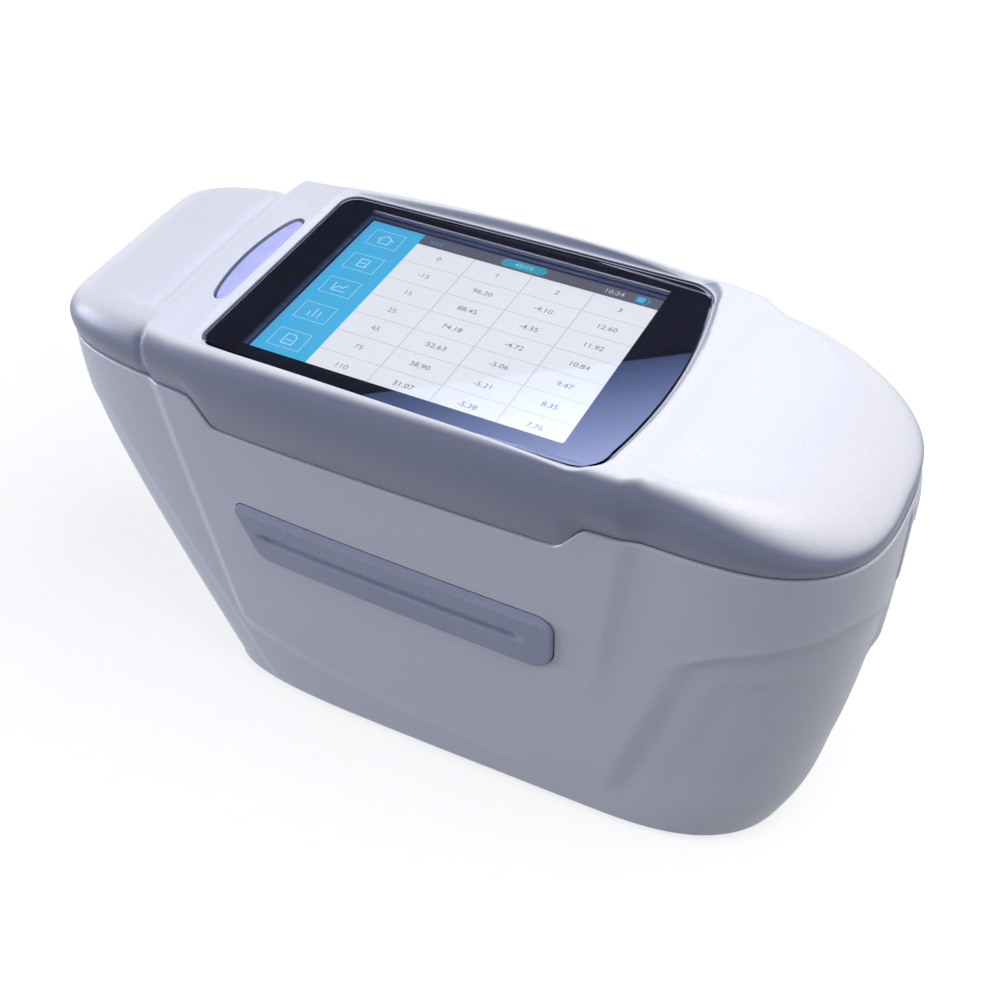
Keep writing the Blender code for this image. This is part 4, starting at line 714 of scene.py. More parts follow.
def flap_face(y, z, depth):
    """Proud height less the rounded edge, with rounded ribs near the top."""
    ribs = sum(np.exp(-((z - height) / FLAP_RIB_WIDTH) ** 2) for height in FLAP_RIB_HEIGHTS)
    ribs = ribs * smooth((FLAP_RIB_HALF_LENGTH - np.abs(y - END_CENTRE_Y)) / FLAP_RIB_WIDTH)
    return FLAP_PROUD - edge_fall(depth, FLAP_EDGE) - FLAP_RIB_RISE * (1 - ribs)


flap_skin = end_pad("flap_skin", end_outline(FLAP_HALF_WIDTH, FLAP_BOTTOM, FLAP_TOP, FLAP_CORNER),
                    end_spine(FLAP_HALF_WIDTH, FLAP_BOTTOM, FLAP_TOP), GAP - FLAP_POCKET, flap_face)
pocket_line = end_outline(FLAP_HALF_WIDTH + GAP, FLAP_BOTTOM - GAP, FLAP_TOP + GAP, FLAP_CORNER + GAP)
flap_cutter = end_pad("flap_cutter", pocket_line, end_spine(FLAP_HALF_WIDTH, FLAP_BOTTOM, FLAP_TOP),
                      -FLAP_POCKET, lambda y, z, depth: CUT_OVERRUN, CUTTER_SHARES)
print("flap:", round(2 * FLAP_HALF_WIDTH * 1000, 1), "by", round((FLAP_TOP - FLAP_BOTTOM) * 1000, 1), "mm")

# %% [markdown]
# Under the flap sit a rocker switch of black plastic and a slot with a bar for
# a wrist strap. Each hole goes straight through the wall, so a prism with
# rounded corners cuts it. The switch's front is dished, as a finger would want.

# %% Rocker and the slots
PORT_WINDOW_INSET = 0.0018
PORT_WINDOW_SIDE = 0.0025
ROCKER_HEIGHT = 0.0625
ROCKER_HALF_WIDTH = 0.0055
ROCKER_HALF_HEIGHT = 0.0029
ROCKER_CLEARANCE = 0.0005
ROCKER_DEPTH = 0.0026
ROCKER_DISH = 0.0007
ROCKER_EDGE = 0.00035
ROCKER_BOTTOM = ROCKER_HEIGHT - ROCKER_HALF_HEIGHT
ROCKER_TOP = ROCKER_HEIGHT + ROCKER_HALF_HEIGHT
STRAP_HEIGHT = 0.0535
STRAP_HALF_WIDTH = 0.0054
STRAP_HALF_HEIGHT = 0.0022
SLOT_CORNER = 0.0008
SLOT_POINTS = 60


def slot_cutter(name, half_width, bottom, top):
    """Straight prism through the end wall, with rounded corners."""
    outline = end_outline(half_width, bottom, top, SLOT_CORNER, SLOT_POINTS)
    back = RIGHT_END_AT_SEAM - RIGHT_SWEEP
    front = RIGHT_END_AT_SEAM + CUT_OVERRUN
    flat, _ = drawn_in(outline, *end_spine(half_width, bottom, top), (0.0, 1.0))
    rear = np.stack([np.full(flat.shape[:2], back), flat[..., 0], flat[..., 1]], axis=-1)
    face = np.stack([np.full(flat.shape[:2], front), flat[..., 0], flat[..., 1]], axis=-1)
    return ring_piece(name, np.concatenate([rear[::-1], face]))


window = slot_cutter("window_cutter", FLAP_HALF_WIDTH - PORT_WINDOW_SIDE,
                     FLAP_BOTTOM + PORT_WINDOW_INSET, FLAP_TOP - PORT_WINDOW_INSET)
rocker_hole = slot_cutter("rocker_cutter", ROCKER_HALF_WIDTH + GAP,
                          ROCKER_BOTTOM - ROCKER_CLEARANCE, ROCKER_TOP + ROCKER_CLEARANCE)
strap_hole = slot_cutter("strap_cutter", STRAP_HALF_WIDTH, STRAP_HEIGHT - STRAP_HALF_HEIGHT,
                         STRAP_HEIGHT + STRAP_HALF_HEIGHT)


def rocker_face(y, z, depth):
    """Front that follows the wall at the switch's height, dished in the middle, less its rounded edge."""
    level = wall_x(y, ROCKER_HEIGHT) - wall_x(y, z)
    across = (z - ROCKER_HEIGHT) / ROCKER_HALF_HEIGHT
    return level - ROCKER_DISH * (1.0 - across * across) - edge_fall(depth, ROCKER_EDGE)


rocker_skin = end_pad("rocker_skin", end_outline(ROCKER_HALF_WIDTH, ROCKER_BOTTOM, ROCKER_TOP, ROCKER_EDGE),
                      end_spine(ROCKER_HALF_WIDTH, ROCKER_BOTTOM, ROCKER_TOP), -ROCKER_DEPTH, rocker_face)
print("rocker:", len(rocker_skin.data.polygons), "faces, and three slots to cut")

# %% [markdown]
# The floor of the lower body has an opening for the base plate, four shallow
# pockets for the rubber feet and four bores for screws. All cutters that don't
# touch each other are joined, so the wall is carved in two steps only.

# %% Carving the lower body
APERTURE_X = 0.01266
OPENING_HALF_LENGTH = 0.0460
OPENING_HALF_WIDTH = 0.0150
OPENING_CORNER = 0.0040
SCREW_REACH_X = 0.0500
SCREW_REACH_Y = 0.0180
SCREW_HEAD_RADIUS = 0.0026
SCREW_SHANK_RADIUS = 0.0012
SCREW_HEAD_HEIGHT = 0.0009
FOOT_RADIUS = 0.0045
FOOT_POCKET = 0.0008
FOOT_PLACES = ((-0.04784, -0.0165), (-0.04784, 0.0165), (0.07016, -0.0125), (0.07016, 0.0125))
ROUND_SIDES = 48
OPENING_POINTS = 120


def turned_body(name, profile, x, y, sides=ROUND_SIDES):
    """Body of revolution: each (radius, height) pair of the profile carried round an upright axis."""
    turn = np.arange(sides) * 2 * math.pi / sides
    radius = np.array([r for r, _ in profile])[:, None]
    height = np.array([h for _, h in profile])[:, None]
    rings = np.stack([x + radius * np.cos(turn), y + radius * np.sin(turn), height + 0 * turn], axis=-1)
    return ring_piece(name, rings)


def floor_cutters():
    """Round pockets for the feet, stepped bores for the screws and a prism for the base plate's opening."""
    low = HOUSING_BOTTOM - CUT_OVERRUN
    high = HOUSING_BOTTOM + HOUSING_FLOOR + CUT_OVERRUN
    seat = HOUSING_BOTTOM + SCREW_HEAD_HEIGHT + GAP
    made = []
    radius = FOOT_RADIUS + GAP
    ceiling = HOUSING_BOTTOM + FOOT_POCKET
    pocket = [(0, low), (radius, low), (radius, ceiling), (0, ceiling)]
    for x, y in FOOT_PLACES:
        made.append(turned_body("foot_cutter", pocket, x, y))
    head = SCREW_HEAD_RADIUS + GAP
    shank = SCREW_SHANK_RADIUS + GAP
    bore = [(0, low), (head, low), (head, seat), (shank, seat), (shank, high), (0, high)]
    for side_x in (-1, 1):
        for side_y in (-1, 1):
            x = APERTURE_X + side_x * SCREW_REACH_X
            made.append(turned_body("screw_cutter", bore, x, side_y * SCREW_REACH_Y))
    half_x, half_y = OPENING_HALF_LENGTH, OPENING_HALF_WIDTH
    corners = [(APERTURE_X - half_x, half_y), (APERTURE_X - half_x, -half_y),
               (APERTURE_X + half_x, -half_y), (APERTURE_X + half_x, half_y)]
    outline = rounded_outline(corners, [OPENING_CORNER] * 4, OPENING_POINTS)
    reach = half_x - half_y
    flat, _ = drawn_in(outline, (APERTURE_X - reach, 0.0), (APERTURE_X + reach, 0.0), (0.0, 1.0))
    lower = np.concatenate([flat, np.full(flat.shape[:2] + (1,), low)], axis=-1)
    upper = np.concatenate([flat, np.full(flat.shape[:2] + (1,), high)], axis=-1)
    made.append(ring_piece("opening_cutter", np.concatenate([lower[::-1], upper])))
    return made


carve(lower_skin, join_pieces("first_cutters", side_cutters + [flap_cutter] + floor_cutters()))
carve(lower_skin, join_pieces("second_cutters", [window, rocker_hole, strap_hole]))

# %% [markdown]
# The touch glass is a flat sheet with a black border printed on its underside.
# It widens a little to the right, where its edge is bowed. The cover's seat
# around it uses the same outline, so that the dark joint between them is even.

# %% Glass outline
SCREEN_X = -0.00584
GLASS_TOP = 0.1040
GLASS_THICKNESS = 0.0011
GLASS_LEFT = -0.04964
GLASS_RIGHT = 0.04201
GLASS_LEFT_HALF_WIDTH = 0.0305
GLASS_RIGHT_HALF_WIDTH = 0.0324
GLASS_SIDE_BOW = 0.0003
GLASS_RIGHT_BOW = 0.0028
GLASS_LEFT_CORNER = 0.0040
GLASS_RIGHT_CORNER = 0.0065
OUTLINE_STEPS = 60


def glass_outline(grow=0.0):
    """Tapered sides with a slight bow, a bowed right edge and four rounded corners."""
    left = GLASS_LEFT - grow
    right = GLASS_RIGHT + grow

    def side(x):
        """Half width at x: a straight taper plus a parabola that is highest half way along."""
        share = (x - left) / (right - left)
        taper = mix(GLASS_LEFT_HALF_WIDTH, GLASS_RIGHT_HALF_WIDTH, share)
        return taper + grow + GLASS_SIDE_BOW * 4 * share * (1 - share)

    corner = GLASS_RIGHT_CORNER
    shoulder_x = right - GLASS_RIGHT_BOW - corner
    shoulder_y = side(shoulder_x) - corner
    lean = math.atan2(GLASS_RIGHT_BOW, shoulder_y)
    radius = (shoulder_y ** 2 + GLASS_RIGHT_BOW ** 2) / (2 * GLASS_RIGHT_BOW)
    y = np.linspace(0.0, shoulder_y, OUTLINE_STEPS)
    nose = np.column_stack([right - radius + np.sqrt(radius ** 2 - y ** 2), y])
    turn = np.linspace(lean, math.pi / 2, OUTLINE_STEPS)
    first = np.column_stack([shoulder_x + corner * np.cos(turn), shoulder_y + corner * np.sin(turn)])
    corner = GLASS_LEFT_CORNER
    elbow_x = left + corner
    elbow_y = side(elbow_x) - corner
    x = np.linspace(shoulder_x, elbow_x, OUTLINE_STEPS)[1:-1]
    edge = np.column_stack([x, side(x)])
    turn = np.linspace(math.pi / 2, math.pi, OUTLINE_STEPS)
    second = np.column_stack([elbow_x + corner * np.cos(turn), elbow_y + corner * np.sin(turn)])
    upper = np.concatenate([nose[1:], first, edge, second])
    lower = upper[::-1] * (1, -1)
    return np.concatenate([nose[:1], upper, lower])


def drawn_to(outline, ring):
    """For each ring point, the outline's point in the same direction from the glass centre."""
    centre = (GLASS_LEFT + GLASS_RIGHT) / 2
    bearing = np.arctan2(outline[:, 1], outline[:, 0] - centre)
    order = np.argsort(bearing)
    wanted = np.arctan2(ring[:, 1], ring[:, 0] - centre)
    found = [np.interp(wanted, bearing[order], outline[order, k], period=2 * math.pi) for k in (0, 1)]
    return np.column_stack(found)


outline_points = len(glass_outline())
print("glass:", round((GLASS_RIGHT - GLASS_LEFT) * 1000, 1), "mm long and", outline_points, "points round")


# %% [markdown]
# The cover is the pearl-silver upper shell. Its top is an arched middle with a
# lower lobe at each end, and a narrow bevel sinks all of it to the level of
# the glass. Written as one height for each place in plan, it can be used for
# the outside and, lowered by the wall, for the inside.

# %% Top of the cover
ARCH_RISE = 0.0022
ARCH_CENTRE = 0.00066
ARCH_LEFT_REACH = 0.0560
ARCH_RIGHT_REACH = 0.0780
SHOULDER_RISE = 0.0001
RIDGE_WIDTH = 0.0020
LEFT_LOBE_TOP = GLASS_TOP - 0.0006
LEFT_LOBE_DROP = 0.0045
LEFT_LOBE_REACH = 0.0310
RIGHT_LOBE_TOP = GLASS_TOP + 0.0008
RIGHT_LOBE_DROP = 0.0085
RIGHT_LOBE_REACH = 0.0400
LEFT_CREASE_DEEP = 0.00032
LEFT_CREASE_WIDE = 0.0014
LEFT_CREASE_SHIFT = 0.0014
RIGHT_CREASE_DEEP = 0.00012
RIGHT_CREASE_WIDE = 0.0030


def cover_crease(x, y):
    """Soft valley along each edge of the middle section: a bell curve across the line."""
    left = (x - MIDDLE_LEFT + LEFT_CREASE_SHIFT) / LEFT_CREASE_WIDE
    right = (x - MIDDLE_RIGHT - y * MIDDLE_RIGHT_SKEW) / RIGHT_CREASE_WIDE
    return LEFT_CREASE_DEEP * np.exp(-left * left) + RIGHT_CREASE_DEEP * np.exp(-right * right)


def cover_top(x, y, outside):
    """Height of the top: an arched middle and two lobes, sunk to the glass by a bevel round it."""
    reach = np.where(x < ARCH_CENTRE, ARCH_LEFT_REACH, ARCH_RIGHT_REACH)
    arch = ARCH_RISE * (1.0 - ((x - ARCH_CENTRE) / reach) ** 2)
    bevel = smooth(outside / RIDGE_WIDTH)
    middle = GLASS_TOP + (SHOULDER_RISE + np.maximum(arch, 0.0)) * bevel
    beyond_left = np.maximum(MIDDLE_LEFT - x, 0.0) / LEFT_LOBE_REACH
    beyond_right = np.maximum(x - MIDDLE_RIGHT, 0.0) / RIGHT_LOBE_REACH
    lobe = np.where(x < SCREEN_X, LEFT_LOBE_TOP - LEFT_LOBE_DROP * beyond_left ** 2,
                    RIGHT_LOBE_TOP - RIGHT_LOBE_DROP * beyond_right ** 2)
    lobe = GLASS_TOP + (lobe - GLASS_TOP) * bevel
    return mix(lobe, middle, middle_share(x, SEAM_HEIGHT, y)) - cover_crease(x, y) * bevel


print("top of the arch:", round((GLASS_TOP + ARCH_RISE) * 1000, 1), "mm above the table")

# %% [markdown]
# The cover's wall flares out as it climbs and then swings round into the top.
# The middle has a tight edge, the button end a wider one, and the edge of the
# port end grows from tight to very wide towards the nose. One ring function
# with a climb from 0 to 2 draws wall and edge, with or without the wall
# thickness taken off.

# %% Wall and edge of the cover
COVER_INSET = 0.00035
SIDE_FLARE = 0.0013
END_FLARE = -0.0004
MIDDLE_EXTRA_FLARE = 0.0010
MIDDLE_BOW_FLARE = 0.0014
LOBE_WIDEST = GLASS_TOP - 0.0095
LOBE_ROUND = 0.0085
MIDDLE_WIDEST = GLASS_TOP - 0.0052
MIDDLE_ROUND = 0.0029
RIGHT_START_WIDEST = GLASS_TOP - 0.0066
RIGHT_START_ROUND = 0.0045
RIGHT_END_WIDEST = GLASS_TOP - 0.0122
RIGHT_END_ROUND = 0.0140
COVER_LIP = 0.00025


def cover_ring(turn, seat, climb, thickness, drop):
    """Ring of the cover: climb 0 to 1 goes up the flared wall, 1 to 2 round the edge by sine and cosine."""
    x, y, out_x, out_y = casing_plan(turn, SEAM_HEIGHT)
    share = middle_share(x, SEAM_HEIGHT, y)
    end = smooth((x - MIDDLE_RIGHT) / (RIGHT_END_AT_SEAM - MIDDLE_RIGHT))
    on_right = x > SCREEN_X
    lobe_widest = np.where(on_right, mix(RIGHT_START_WIDEST, RIGHT_END_WIDEST, end), LOBE_WIDEST)
    widest = mix(lobe_widest, MIDDLE_WIDEST, share)
    flare = mix(END_FLARE, SIDE_FLARE, np.abs(out_y))
    flare = flare + share * (MIDDLE_EXTRA_FLARE + MIDDLE_BOW_FLARE * middle_bow(x))
    lobe_round = np.where(on_right, mix(RIGHT_START_ROUND, RIGHT_END_ROUND, end), LOBE_ROUND)
    edge_round = mix(lobe_round, MIDDLE_ROUND, share)
    bottom = seam_height(x) + GAP
    base = middle_proud(x, SEAM_HEIGHT, y) - cover_crease(x, y) - COVER_INSET - thickness
    up = min(climb, 1.0)
    swing = max(climb - 1.0, 0.0) * math.pi / 2
    push = base + flare * math.sin(up * math.pi / 2) - edge_round * (1.0 - math.cos(swing))
    plan_x = x + out_x * push
    plan_y = y + out_y * push
    height = bottom + up * (widest - bottom)
    if climb > 1.0:
        outside = np.hypot(plan_x - seat[:, 0], plan_y - seat[:, 1])
        height = widest + (cover_top(plan_x, plan_y, outside) - widest) * math.sin(swing)
    return np.column_stack([plan_x, plan_y, height - drop * up])


def lip_ring(turn, seat, angle):
    """Rounded lower lip of the cover: angle 0 is the wall and a quarter turn the underside."""
    ring = cover_ring(turn, seat, 0.0, COVER_LIP * (1 - math.cos(angle)), 0.0)
    ring[:, 2] += COVER_LIP * (1 - math.sin(angle))
    return ring


def level_ring(plan, height):
    """Ring in plan set at one height."""
    return np.column_stack([plan, height * np.ones(len(plan))])


# %% [markdown]
# Now the rings go round the whole wall of the shell: lip, outer wall, edge,
# top, glass seat, window, underside and inner wall, and back to the lip. A
# closed loop of rings has no rim to close and gives the shell its real
# thickness everywhere.

# %% Rings of the cover
COVER_WALL = 0.0022
COVER_ROOF = 0.0025
LIP_STEPS = 4
WALL_CLIMBS = 16
EDGE_CLIMBS = 24
TOP_ROWS = 30
FINEST_STEP = 0.00015
SEAT_ROUND = 0.0003
SEAT_STEPS = 4
SEAT_INSET_SHARE = 0.9
DISPLAY_CLEARANCE = 0.0002
VIEW_LENGTH = 0.0745
VIEW_WIDTH = 0.0566
VIEW_CORNER = 0.0010
VIEW_POINTS = 600
ROOF_SHARES = (0.75, 0.4)
INNER_CLIMBS = (2.0, 1.5, 1.0, 0.5, 0.0)


def cover_rings(turn):
    """All rings of the shell in order: lip, wall, edge, top, seat, window, underside, inner wall."""
    rough = cover_ring(turn, np.zeros((len(turn), 2)), 2.0, 0.0, 0.0)
    seat = drawn_to(glass_outline(GAP), rough)
    rings = [lip_ring(turn, seat, angle) for angle in np.linspace(math.pi / 2, 0, LIP_STEPS)]
    rings += [cover_ring(turn, seat, climb, 0.0, 0.0) for climb in np.linspace(0, 1, WALL_CLIMBS)[1:]]
    rings += [cover_ring(turn, seat, 1 + climb, 0.0, 0.0) for climb in np.linspace(0, 1, EDGE_CLIMBS)[1:]]
    edge = rings[-1][:, :2]
    span = np.hypot(*(edge - seat).T)
    power = np.maximum(np.log(span / FINEST_STEP) / math.log(TOP_ROWS), 1.0)
    for step in range(TOP_ROWS - 1, 0, -1):
        away = (step / TOP_ROWS) ** power
        plan = seat + away[:, None] * (edge - seat)
        rings.append(np.column_stack([plan, cover_top(plan[:, 0], plan[:, 1], away * span)]))
    inwards = seat - edge
    inwards /= np.hypot(*inwards.T)[:, None]
    for angle in np.linspace(0, math.pi / 2, SEAT_STEPS)[:-1]:
        plan = seat - inwards * SEAT_ROUND * (1 - math.sin(angle)) * SEAT_INSET_SHARE
        rings.append(level_ring(plan, GLASS_TOP - SEAT_ROUND * (1 - math.cos(angle))))
    floor = GLASS_TOP - GLASS_THICKNESS - DISPLAY_CLEARANCE - GAP
    half_x, half_y = VIEW_LENGTH / 2, VIEW_WIDTH / 2
    corners = [(SCREEN_X - half_x, half_y), (SCREEN_X - half_x, -half_y),
               (SCREEN_X + half_x, -half_y), (SCREEN_X + half_x, half_y)]
    hole = drawn_to(rounded_outline(corners, [VIEW_CORNER] * 4, VIEW_POINTS), rough)
    under = GLASS_TOP - COVER_ROOF
    rings += [level_ring(seat, GLASS_TOP - SEAT_ROUND), level_ring(seat, floor)]
    rings += [level_ring(hole, floor), level_ring(hole, under)]
    inner_edge = cover_ring(turn, seat, 2.0, COVER_WALL, COVER_ROOF)
    for share in ROOF_SHARES:
        plan = mix(inner_edge[:, :2], hole, share)
        outside = np.hypot(*(plan - seat).T)
        rings.append(level_ring(plan, np.minimum(cover_top(*plan.T, outside) - COVER_ROOF, under)))
    rings += [cover_ring(turn, seat, climb, COVER_WALL, COVER_ROOF) for climb in INNER_CLIMBS]
    return np.array(rings)


cover_skin = ring_piece("cover_skin", cover_rings(turns), closed_rows=True)
print("cover:", len(cover_skin.data.polygons), "faces")

# %% [markdown]
# The measuring key is a crescent cap of clouded lavender plastic with a painted
# glow. Its outline is a straight edge and an arc that swells between
# blunt ends. The slot in the cover uses the same outline, a little larger.

# %% Measuring key
BUTTON_X = -0.05274
BUTTON_LENGTH = 0.0328
BUTTON_DEPTH = 0.0045
BUTTON_END_WIDTH = 0.0022
BUTTON_END_POWER = 16
BUTTON_RECESS = 0.0001
BUTTON_FLANGE = 0.0009
BUTTON_FLANGE_THICKNESS = 0.0008
BUTTON_EDGE = 0.0006
BUTTON_POINTS = 260
BUTTON_SNUG = 0.00012
CAP_SHARES = np.linspace(0, 1, 16) ** 1.5


def button_outline(grow=0.0):
    """Crescent: a straight side and an arc, brought together at both ends by a high power."""
    half = BUTTON_LENGTH / 2 + grow
    share = np.cos(np.linspace(0, math.pi, BUTTON_POINTS // 2))
    close = np.sqrt(np.maximum(1 - share ** BUTTON_END_POWER, 0.0))
    swell = mix(BUTTON_END_WIDTH, BUTTON_DEPTH, 1 - share * share) + 2 * grow
    arc = np.column_stack([BUTTON_X + grow - swell * (1 + close) / 2, half * share])
    blunt = (BUTTON_END_WIDTH + 2 * grow) * (1 - close) / 2
    straight = np.column_stack([BUTTON_X + grow - blunt, half * share])
    return np.concatenate([arc, straight[-2:0:-1]])


def key_spine():
    """Line along the narrow side of the crescent, one end width short of its ends."""
    middle = BUTTON_X - BUTTON_END_WIDTH / 2
    return (middle, BUTTON_LENGTH / 2 - BUTTON_END_WIDTH), (middle, -BUTTON_LENGTH / 2 + BUTTON_END_WIDTH)


def key_rings():
    """From the flange's underside out and up, in over the flange, up the cap and over its rounded top."""
    flange_top = GLASS_TOP - COVER_ROOF - GAP
    flange_bottom = flange_top - BUTTON_FLANGE_THICKNESS
    top = GLASS_TOP - BUTTON_RECESS
    cap = button_outline(BUTTON_SNUG)
    flange = button_outline(BUTTON_FLANGE)
    under, _ = drawn_in(flange, *key_spine(), (1.0, 0.0))
    rings = [level_ring(plan, flange_bottom) for plan in under]
    rings += [level_ring(flange, flange_top), level_ring(cap, flange_top), level_ring(cap, top - BUTTON_EDGE)]
    flat, depth = drawn_in(cap, *key_spine(), CAP_SHARES)
    for plan, away in zip(flat, depth):
        rings.append(np.column_stack([plan, top - edge_fall(away, BUTTON_EDGE)]))
    return np.array(rings)


key_cap = ring_piece("key_cap", key_rings())
(narrow, narrow_spine), _ = drawn_in(button_outline(GAP), *key_spine(), (0.0, 1.0))
(wide, wide_spine), _ = drawn_in(button_outline(2 * GAP), *key_spine(), (0.0, 1.0))
slot_profile = ((narrow_spine, -CUT_OVERRUN), (narrow, -CUT_OVERRUN), (narrow, -GAP),
                (wide, GAP), (wide, CUT_OVERRUN), (wide_spine, CUT_OVERRUN))
slot_rings = [level_ring(plan, GLASS_TOP + rise) for plan, rise in slot_profile]
carve(cover_skin, ring_piece("key_slot_cutter", np.array(slot_rings)))

# %% [markdown]
# Under the glass lie the printed border, the metal frame of the display and
# the lit picture. The border is a thin ring from the glass's outline to the
# window. The picture is made of flat patches that carry their own colour in
# an attribute, so that one lit material serves the whole picture.

# %% Glass and printed border
GLASS_EDGE = 0.00015
GLASS_SHARP_ANGLE = math.radians(20)
MASK_GAP = 0.00004
MASK_THICKNESS = 0.00004
WINDOW_LEFT = -0.0418
WINDOW_RIGHT = 0.0297
WINDOW_LOW_Y = -0.0266
WINDOW_HIGH_Y = 0.0284
WINDOW_CORNER = 0.0006


def glass_rings():
    """Underside, a small bevel, the edge, a small bevel and the top, all from one outline."""
    outline = glass_outline()
    inset = glass_outline(-GLASS_EDGE)
    centre = np.array([SCREEN_X, 0.0])
    low = GLASS_TOP - GLASS_THICKNESS
    middle = mix(inset, centre, 1.0)
    profile = ((middle, low), (inset, low), (outline, low + GLASS_EDGE),
               (outline, GLASS_TOP - GLASS_EDGE), (inset, GLASS_TOP), (middle, GLASS_TOP))
    return np.array([level_ring(plan, height) for plan, height in profile])


glass_panel = ring_piece("glass_panel", glass_rings(), sharp=GLASS_SHARP_ANGLE)
window_corners = [(WINDOW_LEFT, WINDOW_HIGH_Y), (WINDOW_LEFT, WINDOW_LOW_Y),
                  (WINDOW_RIGHT, WINDOW_LOW_Y), (WINDOW_RIGHT, WINDOW_HIGH_Y)]
window_line = rounded_outline(window_corners, [WINDOW_CORNER] * 4, VIEW_POINTS)
mask_outer = glass_outline(-GLASS_EDGE)
mask_inner = drawn_to(window_line, mask_outer)
mask_top = GLASS_TOP - GLASS_THICKNESS - MASK_GAP
mask_rings = np.array([level_ring(mask_outer, mask_top), level_ring(mask_inner, mask_top),
                       level_ring(mask_inner, mask_top - MASK_THICKNESS),
                       level_ring(mask_outer, mask_top - MASK_THICKNESS)])
printed_border = ring_piece("printed_border", mask_rings, closed_rows=True)
print("glass:", len(glass_panel.data.polygons), "faces")

# %% [markdown]
# The picture is drawn from flat patches. Places are given as shares of the
# picture: 0 to 1 from its left and from its top. Each layer lies a hair above
# the one below it, so that a later patch covers an earlier one.

# %% Patches of the lit picture
PICTURE_LENGTH = 0.0701
PICTURE_WIDTH = 0.0526
PICTURE_LAYER = 0.00002
PICTURE_ABOVE_DISPLAY = 0.00006
PICTURE_TOP = GLASS_TOP - COVER_ROOF - GAP + PICTURE_ABOVE_DISPLAY
PILL_POINTS = 12
patches = []


def to_picture(points):
    """Picture shares to metres in plan."""
    across, down = np.asarray(points, float).T
    return np.column_stack([SCREEN_X + (across - 0.5) * PICTURE_LENGTH, (0.5 - down) * PICTURE_WIDTH])


def patch(points, colour, layer):
    """Flat patch from points in picture shares, with its colour and layer."""
    patches.append((to_picture(points), linear(colour), layer))


def block(left, top, right, bottom, colour, layer):
    """Upright rectangle in picture shares."""
    patch([(left, bottom), (right, bottom), (right, top), (left, top)], colour, layer)


def stroke(points, width, colour, layer, closed=False):
    """Line of even width, one four-sided patch to a stretch, with square ends that overlap."""
    points = np.asarray(points, float)
    ends = np.roll(points, -1, axis=0) if closed else points[1:]
    stretch = np.array([1.0, PICTURE_WIDTH / PICTURE_LENGTH])
    for start, end in zip(points, ends):
        along = (end - start) * stretch
        along /= np.hypot(*along)
        across = np.array([-along[1], along[0]]) * width / 2 / stretch
        over = along * width / 2 / stretch
        first = start - over
        last = end + over
        patch([first - across, last - across, last + across, first + across], colour, layer)


def pill(left, top, right, bottom, colour, layer):
    """Bar with round ends."""
    turn = np.linspace(-math.pi / 2, math.pi / 2, PILL_POINTS)
    half = (bottom - top) / 2
    reach = half * PICTURE_WIDTH / PICTURE_LENGTH
    middle = (top + bottom) / 2
    right_end = np.column_stack([right - reach + reach * np.cos(turn), middle - half * np.sin(turn)])
    left_end_points = np.column_stack([left + reach - reach * np.cos(turn), middle + half * np.sin(turn)])
    patch(np.concatenate([right_end, left_end_points]), colour, layer)


print("picture:", round(PICTURE_LENGTH * 1000, 1), "x", round(PICTURE_WIDTH * 1000, 1), "mm")

# %% [markdown]
# The picture has a dark title bar over a pale table, and a blue column for
# buttons at its left. The thin dark margin round it is the part of a display
# that never lights up.

# %% Table and status bar
SIDEBAR_SHARE = 0.187
COLUMN_SHARES = (0.187, 0.389, 0.588, 0.793, 1.0)
HEADER_SHARE = 0.071
TABLE_ROWS = 7
LINE_SHARE = 0.0032
MARGIN_SHARE = 0.009
UNLIT_BLACK = "#0A0A10"
TABLE_WHITE = "#EAEAE9"
SIDEBAR_BLUE = "#3FB0DA"
HEADER_GREY = "#56565E"
LABEL_TEAL = "#2A98AC"
LINE_GREY = "#C4C4C8"
CHARGE_BLUE = "#35B5DF"
SYMBOL_BLUE = "#2B8FB4"
SYMBOL_TEAL = "#2B7F96"

block(-MARGIN_SHARE, -MARGIN_SHARE * 1.6, 1 + MARGIN_SHARE, 1 + MARGIN_SHARE, UNLIT_BLACK, 0)
block(SIDEBAR_SHARE, 0, 1, 1, TABLE_WHITE, 1)
block(0, 0, SIDEBAR_SHARE, 1, SIDEBAR_BLUE, 1)
block(SIDEBAR_SHARE, 0, 1, HEADER_SHARE, HEADER_GREY, 2)
pill(0.467, 0.004, 0.620, 0.060, LABEL_TEAL, 3)
row_height = (1 - HEADER_SHARE) / TABLE_ROWS
for row in range(1, TABLE_ROWS):
    line = HEADER_SHARE + row * row_height
    block(SIDEBAR_SHARE, line - LINE_SHARE / 2, 1, line + LINE_SHARE / 2, LINE_GREY, 2)
for share in COLUMN_SHARES[1:-1]:
    block(share - LINE_SHARE / 2, HEADER_SHARE, share + LINE_SHARE / 2, 1, LINE_GREY, 2)
block(0.921, 0.020, 0.945, 0.052, CHARGE_BLUE, 3)
stroke([(0.917, 0.014), (0.955, 0.014), (0.955, 0.058), (0.917, 0.058)], 0.003, SYMBOL_BLUE, 3, closed=True)
block(0.958, 0.026, 0.962, 0.046, SYMBOL_BLUE, 3)
for left in (0.222, 0.238, 0.254):
    block(left, 0.026, left + 0.010, 0.050, SYMBOL_TEAL, 3)
print("table and status bar:", len(patches), "patches")

# %% [markdown]
# Each of the five buttons is a thin frame with a plain icon in it. An icon is
# a few lines in shares of its frame, and the word at a line's end says whether
# the line closes on itself.

